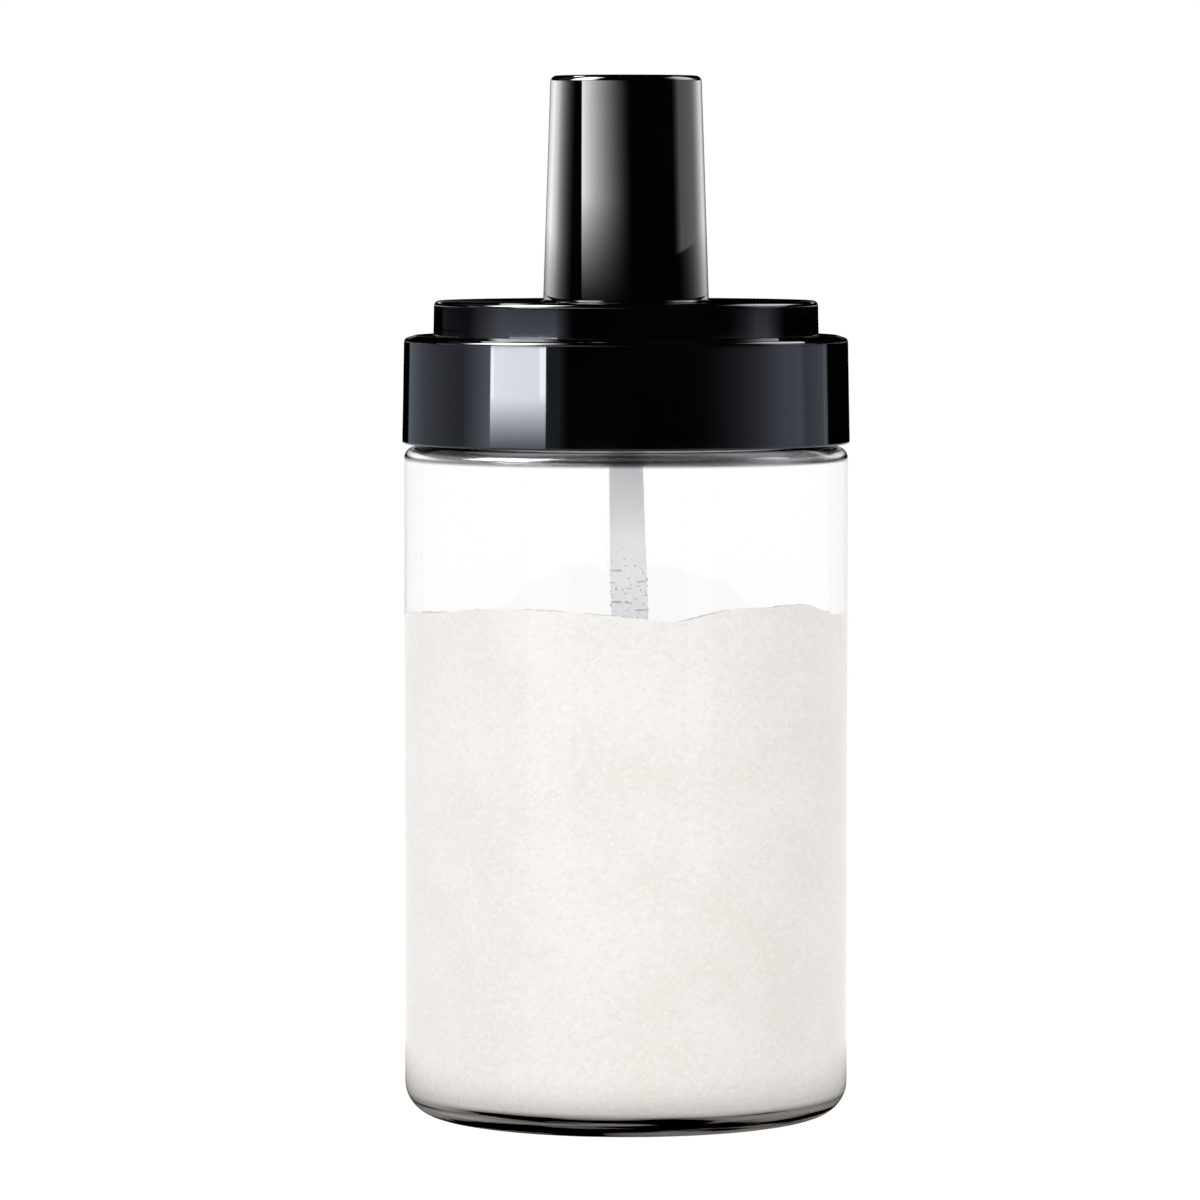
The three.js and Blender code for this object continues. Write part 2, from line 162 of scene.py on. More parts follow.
def pick(piece: Object, wanted: Callable[[Vector], bool]) -> None:
    """Selects just the vertices of a piece in edit mode that a test accepts, with the edges between them.

    Args:
        piece: the mesh object in edit mode.
        wanted: the test of a vertex's place.
    """
    bpy.ops.mesh.select_all(action="DESELECT")
    bpy.ops.mesh.select_mode(type="VERT")
    mesh = bmesh.from_edit_mesh(piece.data)
    for vertex in mesh.verts:
        if wanted(vertex.co):
            vertex.select = True
    mesh.select_flush_mode()
    bmesh.update_edit_mesh(piece.data)


@dataclass(frozen=True)
class Corner:
    """A corner of a half outline.

    Attributes:
        radius: distance from the jar's axis.
        height: height above the table.
        rounding: radius that the corner is rounded to, or zero where it stays sharp.
        steps: how many faces the rounding gets.
    """

    radius: float
    height: float
    rounding: float = 0.0
    steps: int = 4

    @property
    def place(self) -> Vector:
        """Where the corner lies on the outline's plane."""
        return Vector((self.radius, 0, self.height))


def close_up(piece: Object) -> None:
    """Merges the doubles of a spun or joined piece and turns all its faces outwards.

    Args:
        piece: the mesh object to clean.
    """
    with editing(piece):
        bpy.ops.mesh.remove_doubles(threshold=WELD_DISTANCE)
        bpy.ops.mesh.dissolve_degenerate(threshold=WELD_DISTANCE)
        bpy.ops.mesh.normals_make_consistent(inside=False)


def apply_modifier(piece: Object, modifier: Modifier) -> None:
    """Applies one modifier of a piece for good.

    Args:
        piece: the mesh object that carries it.
        modifier: the modifier, with its settings made.
    """
    take(piece)
    bpy.ops.object.modifier_apply(modifier=modifier.name)


def smooth(piece: Object, angle: float = SMOOTH_ANGLE) -> None:
    """Shades a piece smooth, with sharp edges kept and large faces left flat beside small roundings.

    Args:
        piece: the mesh object.
        angle: the least angle between two faces that stays a sharp edge.
    """
    take(piece)
    bpy.ops.object.shade_smooth_by_angle(angle=angle)
    weighted = piece.modifiers.new("even_shading", "WEIGHTED_NORMAL")
    weighted.keep_sharp = True
    weighted.weight = LARGE_FACE_WEIGHT
    apply_modifier(piece, weighted)


def draw_outline(name: str, corners: Sequence[Corner], ring: bool) -> Object:
    """Draws a half outline, point after point from one vertex, and rounds its corners.

    Args:
        name: the piece's name.
        corners: the outline's corners, in order.
        ring: whether the last corner joins the first, away from the axis.

    Returns:
        A mesh object that holds the outline's edges alone.
    """
    deselect_everything()
    bpy.ops.mesh.primitive_plane_add(size=MM)
    piece = named(name)
    with editing(piece):
        bpy.ops.mesh.merge(type="CENTER")
        bpy.ops.transform.translate(value=corners[0].place)
        for before, after in pairwise(corners):
            step = after.place - before.place
            bpy.ops.mesh.extrude_vertices_move(TRANSFORM_OT_translate={"value": step})
        if ring:
            ends = (corners[0].place, corners[-1].place)
            pick(piece, lambda place: min((place - end).length for end in ends) < PICK_DISTANCE)
            bpy.ops.mesh.edge_face_add()
        for index, corner in enumerate(corners):
            if corner.rounding:
                after = corners[(index + 1) % len(corners)].place - corner.place
                before = corner.place - corners[index - 1].place
                offset = corner.rounding * math.tan(before.angle(after) / 2)
                pick(piece, lambda place: (place - corner.place).length < PICK_DISTANCE)
                bpy.ops.mesh.bevel(offset=offset, segments=corner.steps, affect="VERTICES")
    return piece


def turn(name: str, corners: Sequence[Corner], ring: bool = False, steps: int = TURN_STEPS) -> Object:
    """Spins a half outline round the jar's axis into a closed body.

    Args:
        name: the piece's name.
        corners: the outline's corners, in order.
        ring: whether the outline closes on itself away from the axis.
        steps: how many steps the spin takes.

    Returns:
        The turned piece, shaded smooth.
    """
    piece = draw_outline(name, corners, ring)
    with editing(piece):
        bpy.ops.mesh.spin(steps=steps, angle=2 * math.pi, center=(0, 0, 0), axis=(0, 0, 1))
    close_up(piece)
    smooth(piece)
    return piece


def lean_below(piece: Object, pivot: float, angle: float) -> None:
    """Leans what hangs below a height to the right.

    Args:
        piece: the piece.
        pivot: the height from which it leans.
        angle: how far it leans.
    """
    with editing(piece):
        pick(piece, lambda place: place.z < pivot - PICK_DISTANCE)
        bpy.ops.transform.rotate(value=angle, orient_axis="Y", center_override=(0, 0, pivot))


def join(piece: Object, tool: Object, how: Join, keep_tool: bool = False) -> None:
    """Adds one closed body to another, or cuts it away.

    Args:
        piece: the body that changes.
        tool: the body that is added or cut away.
        how: which of the two is done.
        keep_tool: whether the tool is used again afterwards.
    """
    modifier = piece.modifiers.new(how.name.lower(), "BOOLEAN")
    modifier.operation = how.value
    modifier.solver = "EXACT"
    modifier.object = tool
    apply_modifier(piece, modifier)
    if not keep_tool:
        bpy.data.objects.remove(tool)


@dataclass(frozen=True)
class Thread:
    """A right-handed thread ridge that the neck and the screw ring share.

    Attributes:
        lead: how far the ridge climbs in one turn.
        root_width: height of the ridge at its root.
        crest_width: height of the ridge at its crest.
        bite: how far the ridge's foot runs into the wall behind it.
        fade_share: share of the ridge's length over which each end fades into the wall.
        steps: how many steps one turn takes.
    """

    lead: float = 4.2 * MM
    root_width: float = 2 * MM
    crest_width: float = 0.9 * MM
    bite: float = 0.4 * MM
    fade_share: float = 0.12
    steps: int = 144

    def ridge(self, name: str, root: float, crest: float, start: float) -> Object:
        """Makes one turn of the ridge as a closed body.

        Args:
            name: the ridge's name.
            root: radius of the wall that it stands on.
            crest: radius that it reaches.
            start: height of its middle at its lower end.

        Returns:
            The ridge, with both ends faded into the wall.
        """
        outward = math.copysign(1, crest - root)
        foot = root - outward * self.bite
        corners = (
            Corner(foot, start - self.root_width / 2),
            Corner(crest, start - self.crest_width / 2),
            Corner(crest, start + self.crest_width / 2),
            Corner(foot, start + self.root_width / 2),
        )
        piece = draw_outline(name, corners, ring=True)
        with editing(piece):
            bpy.ops.mesh.edge_face_add()
            bpy.ops.mesh.delete(type="ONLY_FACE")
        screw = piece.modifiers.new("screw", "SCREW")
        screw.angle = 2 * math.pi
        screw.screw_offset = self.lead
        screw.steps = self.steps
        screw.render_steps = self.steps
        apply_modifier(piece, screw)
        self._fade_ends(piece, root, crest, start)
        with editing(piece):
            bpy.ops.mesh.fill_holes(sides=len(corners))
        close_up(piece)
        return piece

    def _fade_ends(self, piece: Object, root: float, crest: float, start: float) -> None:
        """Draws the crest down into the wall towards both ends of the ridge.

        Args:
            piece: the ridge.
            root: radius of the wall.
            crest: radius of the crest.
            start: height of the ridge's middle at its lower end.
        """
        sunk = root - math.copysign(self.bite / 2, crest - root)
        for vertex in piece.data.vertices:
            radius = math.hypot(vertex.co.x, vertex.co.y)
            if abs(radius - crest) > PICK_DISTANCE:
                continue
            climbed = (vertex.co.z - start) / self.lead
            angle_share = (math.atan2(vertex.co.y, vertex.co.x) / (2 * math.pi)) % 1
            share = angle_share + round(climbed - angle_share)
            fade = min(1, share / self.fade_share, (1 - share) / self.fade_share)
            wanted = sunk + (crest - sunk) * max(0, fade)
            vertex.co.x *= wanted / radius
            vertex.co.y *= wanted / radius


# Laying out materials


class Sheet:
    """A sheet of shader nodes that are added and joined by name."""

    def __init__(self, tree: NodeTree) -> None:
        """Starts on the node tree that is to be filled."""
        self.tree = tree

    def feed(self, node: Node, inputs: dict[str | int, object]) -> None:
        """Fills a node's sockets.

        Args:
            node: the node.
            inputs: what goes into each socket, a value or another node's socket.
        """
        for key, value in inputs.items():
            if isinstance(value, NodeSocket):
                self.tree.links.new(value, node.inputs[key])
            else:
                node.inputs[key].default_value = value

    def add(self, kind: str, inputs: dict[str | int, object] | None = None, **settings: object) -> Node:
        """Adds one node.

        Args:
            kind: the node's type, without its leading words.
            inputs: what goes into its sockets.
            settings: the node's own settings.

        Returns:
            The new node.
        """
        node = self.tree.nodes.new("ShaderNode" + kind)
        for name, value in settings.items():
            setattr(node, name, value)
        self.feed(node, inputs or {})
        return node

    def math(self, operation: str, *values: object) -> NodeSocket:
        """Adds a sum of numbers or sockets, named by the Math node's operation."""
        return self.add("Math", dict(enumerate(values)), operation=operation).outputs[0]

    def ranged(self, value: object, source: Range, target: Range) -> NodeSocket:
        """Maps a value from one range to another and holds it there."""
        inputs = {0: value, 1: source[0], 2: source[1], 3: target[0], 4: target[1]}
        return self.add("MapRange", inputs).outputs[0]

    def tinted(self, share: object, low: object, high: object) -> NodeSocket:
        """Mixes two colours, with the share of the second one given first."""
        inputs = {0: share, 6: as_colour(low), 7: as_colour(high)}
        return self.add("Mix", inputs, data_type="RGBA").outputs[2]

    def noise(self, place: NodeSocket, fineness: object, detail: float) -> NodeSocket:
        """Adds a cloudy pattern at a place, with its fineness and its octaves."""
        return self.add("TexNoise", {"Vector": place, "Scale": fineness, "Detail": detail}).outputs[0]

    def bump(self, height: NodeSocket, distance: float, strength: float = 1.0) -> NodeSocket:
        """Turns a pattern of a given height into a bumpy normal."""
        return self.add("Bump", {"Height": height, "Distance": distance, "Strength": strength}).outputs[0]

    def group(self, tree: NodeTree, inputs: dict[str, object]) -> bpy.types.bpy_prop_collection:
        """Places a shared group, fills its inputs and gives its outputs by name."""
        return self.add("Group", inputs, node_tree=tree).outputs

    def spot(self) -> NodeSocket:
        """Gives the place on the object."""
        return self.add("TexCoord").outputs["Object"]

    def place(self, stretch: Place = (1, 1, 1)) -> NodeSocket:
        """Gives the place on the object, with patterns made finer along each axis by a stretch."""
        return self.add("Mapping", {"Vector": self.spot(), "Scale": stretch}).outputs[0]

    def height(self) -> NodeSocket:
        """Gives the height above the table of a place on the object."""
        return self.add("SeparateXYZ", {0: self.spot()}).outputs["Z"]

    def from_axis(self, spot: NodeSocket) -> NodeSocket:
        """Gives how far a place is from the origin."""
        return self.add("VectorMath", {0: spot}, operation="LENGTH").outputs["Value"]

    def show(self, shader: Node) -> None:
        """Joins a shader to the material's output."""
        self.feed(self.tree.nodes["Material Output"], {"Surface": shader.outputs[0]})


class Paint(Sheet):
    """The sheet of a new material, with its bare Principled shader."""

    def __init__(self, name: str) -> None:
        """Makes the material.

        Args:
            name: the material's name.
        """
        self.material = bpy.data.materials.new(name)
        self.material.use_nodes = True
        super().__init__(self.material.node_tree)
        self.shader = self.tree.nodes["Principled BSDF"]

    def fill(self, inputs: dict[str | int, object]) -> None:
        """Fills the shader's sockets, each with a value or another node's socket."""
        self.feed(self.shader, inputs)

    def coat(self, colour: NodeSocket, roughness: NodeSocket, normal: NodeSocket) -> None:
        """Joins the three patterns that every finish has to the shader."""
        self.fill({"Base Color": colour, "Roughness": roughness, "Normal": normal})

    def let_light_in(self, tint: Colour) -> None:
        """Lets lamp light and bounced light straight through the shader, so that what it holds is lit.

        Args:
            tint: the share of each colour that gets through.
        """
        ray = self.add("LightPath").outputs
        passes = self.math("MAXIMUM", ray["Is Shadow Ray"], ray["Is Diffuse Ray"])
        clear = self.add("BsdfTransparent", {"Color": as_colour(tint)})
        self.show(self.add("MixShader", {0: passes, 1: self.shader.outputs[0], 2: clear.outputs[0]}))


def as_colour(value: object) -> object:
    """Adds an alpha of 1 to a colour, and leaves a socket as it is."""
    return (*value, 1) if isinstance(value, tuple) else value


def new_group(name: str, inputs: dict[str, str], outputs: dict[str, str]) -> Sheet:
    """Makes an empty shader group with named sockets.

    Args:
        name: the group's name.
        inputs: the kind of each input by name.
        outputs: the kind of each output by name.

    Returns:
        A sheet on the group.
    """
    group = bpy.data.node_groups.new(name, "ShaderNodeTree")
    for in_out, sockets in (("INPUT", inputs), ("OUTPUT", outputs)):
        for label, kind in sockets.items():
            group.interface.new_socket(name=label, in_out=in_out, socket_type="NodeSocket" + kind)
    return Sheet(group)


class Effects:
    """Surface effects that several materials share, each a group that is built once.

    Attributes:
        noise_share: how much finer the cloudy part of the grain is than its crystals.
        drift_detail: octaves of the slow drift.
        smudge_roughness: how broken up the smudges are.
        scratch_turn: how the hairlines are turned.
        scratch_stretch: how much finer they are along each axis.
        smudge_range: values of the pattern between which a smudge sets in.
        scratch_range: values of the pattern between which a hairline sets in.
    """

    noise_share: float = 1.7
    drift_detail: float = 3.0
    smudge_roughness: float = 0.62
    scratch_turn: Place = (0.3, 0.2, 0.7)
    scratch_stretch: Place = (1, 14, 1.6)
    smudge_range: Range = (0.45, 0.72)
    scratch_range: Range = (0.66, 0.72)

    def __init__(self) -> None:
        """Builds the groups."""
        self.grain = self._grain()
        self.handling = self._handling()

    def _grain(self) -> NodeTree:
        """Grain: packed crystals or a moulded texture.

        Returns:
            The group, which gives a height, a fleck mask and a slow drift.
        """
        sheet = new_group(
            "grain",
            {"Place": "Vector", "Fineness": "Float", "Drift Fineness": "Float"},
            {"Height": "Float", "Flecks": "Float", "Drift": "Float"},
        )
        source = sheet.tree.nodes.new("NodeGroupInput").outputs
        place = source["Place"]
        cells = sheet.add("TexVoronoi", {"Vector": place, "Scale": source["Fineness"]}).outputs
        noise = sheet.noise(place, sheet.math("MULTIPLY", source["Fineness"], self.noise_share), 2.0)
        bumps = sheet.math("SUBTRACT", 1.0, cells["Distance"])
        outputs = {
            "Height": sheet.math("MULTIPLY_ADD", noise, 0.5, sheet.math("MULTIPLY", bumps, 0.5)),
            "Flecks": sheet.add("SeparateColor", {"Color": cells["Color"]}).outputs[0],
            "Drift": sheet.noise(place, source["Drift Fineness"], self.drift_detail),
        }
        sheet.feed(sheet.tree.nodes.new("NodeGroupOutput"), outputs)
        return sheet.tree

    def _handling(self) -> NodeTree:
        """Handling: what touching and moulding leave on a glossy surface.

        Returns:
            The group, which gives faint smudges, hairline scratches and a slow moulded wave.
        """
        sheet = new_group(
            "handling",
            {"Place": "Vector", "Smudge Fineness": "Float", "Scratch Fineness": "Float"},
            {"Smudge": "Float", "Scratch": "Float", "Wave": "Float"},
        )
        source = sheet.tree.nodes.new("NodeGroupInput").outputs
        place = source["Place"]
        inputs = {"Vector": place, "Scale": source["Smudge Fineness"], "Detail": 4.0}
        smudge = sheet.add("TexNoise", {**inputs, "Roughness": self.smudge_roughness}).outputs[0]
        turned = {"Vector": place, "Rotation": self.scratch_turn, "Scale": self.scratch_stretch}
        lines = sheet.add("Mapping", turned).outputs[0]
        scratch = sheet.noise(lines, source["Scratch Fineness"], 2.0)
        outputs = {
            "Smudge": sheet.ranged(smudge, self.smudge_range, (0, 1)),
            "Scratch": sheet.ranged(scratch, self.scratch_range, (0, 1)),
            "Wave": sheet.noise(place, source["Smudge Fineness"], 0.0),
        }
        sheet.feed(sheet.tree.nodes.new("NodeGroupOutput"), outputs)
        return sheet.tree


class Slot(Enum):
    """The record's material slots."""

    CLEAR_GLASS = "clear_glass"
    SALT = "salt"
    SILICONE = "silicone"
    SATIN_BLACK = "satin_black"
    GLOSS_BLACK = "gloss_black"
    CLEAR_PLASTIC = "clear_plastic"


@dataclass(frozen=True)
class GlossBlack:
    """High-gloss black moulding, with faint smudges and hairlines.

    Attributes:
        colour: the plastic's own colour.
        smudged: its colour where fingers left a film.
        roughness: roughness where it is clean and where it is smudged.
        smudge_fineness: how many smudges lie along a metre.
        scratch_fineness: how fine the hairlines are.
        wave_height: height of the moulded wave.
    """

    colour: Colour = (0.0008, 0.0008, 0.001)
    smudged: Colour = (0.0016, 0.0016, 0.0019)
    roughness: Range = (0.02, 0.055)
    smudge_fineness: float = 55
    scratch_fineness: float = 130
    wave_height: float = 0.004 * MM

    def material(self, effects: Effects) -> Material:
        """Builds the material.

        Args:
            effects: the shared surface effects.

        Returns:
            The finished material.
        """
        paint = Paint(Slot.GLOSS_BLACK.value)
        fineness = {"Smudge Fineness": self.smudge_fineness, "Scratch Fineness": self.scratch_fineness}
        marks = paint.group(effects.handling, {"Place": paint.place(), **fineness})
        worn = paint.math("MAXIMUM", marks["Smudge"], marks["Scratch"])
        paint.coat(
            paint.tinted(worn, self.colour, self.smudged),
            paint.ranged(worn, (0, 1), self.roughness),
            paint.bump(marks["Wave"], self.wave_height),
        )
        return paint.material


@dataclass(frozen=True)
class ClearGlass:
    """Fire-polished clear glass with a faint ripple from its mould, with painted shade in its foot and a
    painted reflection of the black ring in its shoulder.

    Attributes:
        tint: the glass's colour in transmitted light.
        passed: the share of light that its wall lets through to what it holds.
        ior: index of refraction.
        specular: strength of its mirroring, apart from the shoulder's.
        smudged: roughness where it is smudged.
        ripple_stretch: how much finer the ripple is along each axis.
        ripple_fineness: how many ripples lie along a metre.
        ripple_height: height of the ripple.
        painted_foot_shade_heights: heights between which the painted shade of the foot, which stands for the
            shadow under the jar, fades out.
        painted_foot_shades: the darkest and the lightest streak of that painted shade.
        painted_shoulder_shade_heights: heights between which the painted reflection of the black ring in the
            shoulder sets in.
        painted_shoulder_shades: the lightest and the darkest streak of that painted reflection.
        shoulder_roughness: roughness of the shoulder.
        shade_streak_stretch: how much finer the streaks of the painted shade are along each axis.
        shade_streak_range: values of the pattern between which a dark streak of painted shade turns light.
    """

    tint: Colour = (0.997, 0.999, 0.999)
    passed: Colour = (0.985, 0.985, 0.985)
    ior: float = 1.5
    specular: float = 0.5
    smudged: float = 0.012
    ripple_stretch: Place = (1, 1, 0.12)
    ripple_fineness: float = 160
    ripple_height: float = 0.02 * MM
    # Painted shade: the foot is darkened as if it showed the shadow under the jar, and the shoulder as if it
    # mirrored the black ring.
    painted_foot_shade_heights: Range = (3.4 * MM, 4.2 * MM)
    painted_foot_shades: tuple[Colour, Colour] = ((0.0, 0.0, 0.0), (0.42, 0.41, 0.4))
    painted_shoulder_shade_heights: Range = (102.9 * MM, 103.3 * MM)
    painted_shoulder_shades: tuple[Colour, Colour] = ((0.34, 0.33, 0.35), (0.01, 0.01, 0.01))
    shoulder_roughness: float = 0.14
    shade_streak_stretch: Place = (26, 26, 900)
    shade_streak_range: Range = (0.46, 0.66)

    def material(self, effects: Effects) -> Material:
        """Builds the material.

        Args:
            effects: the shared surface effects.

        Returns:
            The finished material.
        """
        paint = Paint(Slot.CLEAR_GLASS.value)
        place = {"Place": paint.place(self.ripple_stretch), "Smudge Fineness": self.ripple_fineness}
        marks = paint.group(effects.handling, place)
        height = paint.height()
        # Masks of the painted shade in the foot and of the painted reflection of the black ring in the
        # shoulder.
        in_painted_foot_shade = paint.ranged(height, self.painted_foot_shade_heights, (1, 0))
        in_painted_shoulder_shade = paint.ranged(height, self.painted_shoulder_shade_heights, (0, 1))
        shade_streaks = paint.noise(paint.place(self.shade_streak_stretch), 1.0, 2.0)
        shade_streak = paint.ranged(shade_streaks, self.shade_streak_range, (0, 1))
        # The foot's colour takes the painted shade here, and the shoulder's colour takes the painted
        # reflection of the black ring below.
        colour = paint.tinted(in_painted_foot_shade, self.tint, paint.tinted(shade_streak, *self.painted_foot_shades))
        smudged = paint.ranged(marks["Smudge"], (0, 1), (0, self.smudged))
        paint.coat(
            paint.tinted(in_painted_shoulder_shade, colour, paint.tinted(shade_streak, *self.painted_shoulder_shades)),
            paint.math("MULTIPLY_ADD", in_painted_shoulder_shade, self.shoulder_roughness, smudged),
            paint.bump(marks["Wave"], self.ripple_height),
        )
        mirrored = paint.ranged(in_painted_shoulder_shade, (0, 1), (self.specular, 0))
        paint.fill({"Transmission Weight": 1, "IOR": self.ior, "Specular IOR Level": mirrored})
        paint.let_light_in(self.passed)
        return paint.material


@dataclass(frozen=True)
class TableSalt:
    """Fine white salt, warm in its body, with a painted glint on a few crystals and a few duller crystals.

    Each range holds the values of a pattern between which its effect sets in or fades out.

    Attributes:
        white: colour of most of the grains.
        warm: colour of the slow patches.
        warm_range: range of the slow patches.
        shade: colour of the gaps and duller grains.
        dull_range: range of the duller grains.
        dull: how dull the dullest are.
        painted_glint: colour of the grains with a painted glint, as if they caught the light.
        painted_glint_range: range of those grains.
        painted_glint_share: how much of that painted glint the brightest have.
        polished_range: range of the grains that are smoother.
        roughness: roughness of most of the grains and of the smoothest ones.
        fineness: how many grains lie along a metre.
        drift_fineness: how many slow patches lie along a metre.
        grain_height: height of the grain.
        grain_strength: how much of that height shows.
    """

    white: Colour = (0.925, 0.892, 0.86)
    warm: Colour = (0.89, 0.845, 0.81)
    warm_range: Range = (0.38, 0.66)
    shade: Colour = (0.84, 0.8, 0.765)
    dull_range: Range = (0.0, 0.3)
    dull: float = 0.55
    painted_glint: Colour = (0.985, 0.965, 0.94)
    painted_glint_range: Range = (0.7, 0.95)
    painted_glint_share: float = 0.4
    polished_range: Range = (0.88, 0.98)
    roughness: Range = (0.85, 0.35)
    fineness: float = 1900
    drift_fineness: float = 75
    grain_height: float = 0.18 * MM
    grain_strength: float = 0.4

    def material(self, effects: Effects) -> Material:
        """Builds the material.

        Args:
            effects: the shared surface effects.

        Returns:
            The finished material.
        """
        paint = Paint(Slot.SALT.value)
        fineness = {"Fineness": self.fineness, "Drift Fineness": self.drift_fineness}
        grain = paint.group(effects.grain, {"Place": paint.place(), **fineness})
        flecks = grain["Flecks"]
        warm = paint.ranged(grain["Drift"], self.warm_range, (0, 1))
        colour = paint.tinted(warm, self.white, self.warm)
        colour = paint.tinted(paint.ranged(flecks, self.dull_range, (self.dull, 0)), colour, self.shade)
        # Painted glint: a few grains are lightened as if they caught the light.
        colour = paint.tinted(paint.ranged(flecks, self.painted_glint_range, (0, self.painted_glint_share)), colour, self.painted_glint)
        paint.coat(
            colour,
            paint.ranged(flecks, self.polished_range, self.roughness),
            paint.bump(grain["Height"], self.grain_height, self.grain_strength),
        )
        return paint.material


@dataclass(frozen=True)
class Moulding:
    """A moulded material with a fine grain and slow patches, satin black unless a subclass says otherwise.

    Attributes:
        slot: the record's slot that it fills.
        colours: its colour in the patches and beside them.
        roughness: its roughness in the patches and beside them.
        patch_range: values of the slow pattern between which a patch ends.
        fineness: how many grains lie along a metre.
        patch_fineness: how many patches lie along a metre.
        grain_height: height of the grain.
        grain_strength: how much of that height shows.
    """

    slot: Slot = Slot.SATIN_BLACK
    colours: tuple[Colour, Colour] = ((0.02, 0.02, 0.021), (0.011, 0.011, 0.012))
    roughness: Range = (0.34, 0.5)
    patch_range: Range = (0.4, 0.65)
    fineness: float = 2600
    patch_fineness: float = 70
    grain_height: float = 0.02 * MM
    grain_strength: float = 0.7

    def material(self, effects: Effects) -> Material:
        """Builds the material.

        Args:
            effects: the shared surface effects.

        Returns:
            The finished material.
        """
        paint = Paint(self.slot.value)
        fineness = {"Fineness": self.fineness, "Drift Fineness": self.patch_fineness}
        grain = paint.group(effects.grain, {"Place": paint.place(), **fineness})
        beside = paint.ranged(grain["Drift"], self.patch_range, (0, 1))
        paint.coat(
            paint.tinted(beside, *self.colours),
            paint.ranged(beside, (0, 1), self.roughness),
            paint.bump(grain["Height"], self.grain_height, self.grain_strength),
        )
        self._add_depth(paint)
        return paint.material

    def _add_depth(self, paint: Paint) -> None:
        """Lets light into the material where a subclass says how, which is nowhere here."""


@dataclass(frozen=True)
class Silicone(Moulding):
    """Soft milky silicone with a dusty, matt skin, whose patches are clean.

    Attributes:
        scattered: the share of light that wanders below its skin.
        depth: how far it wanders.
    """

    slot: Slot = Slot.SILICONE
    colours: tuple[Colour, Colour] = ((0.71, 0.72, 0.71), (0.8, 0.79, 0.77))
    roughness: Range = (0.42, 0.62)
    patch_range: Range = (0.45, 0.65)
    fineness: float = 1800
    patch_fineness: float = 120
    grain_height: float = 0.01 * MM
    grain_strength: float = 0.5
    scattered: float = 0.25
    depth: float = 1.2 * MM

    def _add_depth(self, paint: Paint) -> None:
        """Lets light wander below the skin."""
        paint.fill({"Subsurface Weight": self.scattered, "Subsurface Scale": self.depth})


@dataclass(frozen=True)
class ClearPlastic(Moulding):
    """Clear moulded plastic with a frosted skin, whose patches are polished.

    Attributes:
        transmission: the share of light that goes through it.
        ior: index of refraction.
        passed: the share of lamp light that it lets through to what lies behind it.
        painted_lid_shade_heights: heights between which painted shade, standing for the lid's shadow, darkens
            it towards its socket.
        shade: the share of its colour that the painted shade leaves there.
    """

    slot: Slot = Slot.CLEAR_PLASTIC
    colours: tuple[Colour, Colour] = ((0.97, 0.97, 1.0), (0.93, 0.93, 0.96))
    roughness: Range = (0.06, 0.17)
    patch_range: Range = (0.35, 0.65)
    fineness: float = 900
    patch_fineness: float = 90
    grain_height: float = 0.01 * MM
    grain_strength: float = 0.4
    transmission: float = 0.75
    ior: float = 1.49
    passed: Colour = (0.7, 0.7, 0.72)
    painted_lid_shade_heights: Range = (91 * MM, 102 * MM)
    shade: float = 0.66

    def _add_depth(self, paint: Paint) -> None:
        """Lets light through, and darkens the colour towards the socket with painted shade for the lid's
        shadow.

        Args:
            paint: the material so far.
        """
        colour = paint.shader.inputs["Base Color"].links[0].from_socket
        # Painted shade: the stem darkens towards its socket, where the lid would shade it.
        shade = paint.ranged(paint.height(), self.painted_lid_shade_heights, (1, self.shade))
        with_painted_shade = paint.add("VectorMath", {0: colour, "Scale": shade}, operation="SCALE").outputs[0]
        paint.fill({"Base Color": with_painted_shade, "Transmission Weight": self.transmission, "IOR": self.ior})
        paint.let_light_in(self.passed)


class Wardrobe:
    """All the finishes of the jar, each built once."""

    def __init__(self) -> None:
        """Builds the shared effects and then the materials."""
        effects = Effects()
        self.materials: dict[Slot, Material] = {
            Slot.CLEAR_GLASS: ClearGlass().material(effects),
            Slot.SALT: TableSalt().material(effects),
            Slot.SILICONE: Silicone().material(effects),
            Slot.SATIN_BLACK: Moulding().material(effects),
            Slot.GLOSS_BLACK: GlossBlack().material(effects),
            Slot.CLEAR_PLASTIC: ClearPlastic().material(effects),
        }

    def dress(self, piece: Object, slot: Slot, body: Body, node: str = "") -> None:
        """Gives a piece its finish and its body, and hides the CAD node that it stands for.

        Args:
            piece: the finished mesh object.
            slot: the finish.
            body: the body that it moves with.
            node: the CAD node that it replaces, if any.
        """
        piece.data.materials.clear()
        piece.data.materials.append(self.materials[slot])
        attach(piece, body.value)
        if node:
            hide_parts(node)
        faces = len(piece.data.polygons)
        log.info("%s: %d faces, %s, moves with %s", piece.name, faces, slot.value, body.value)


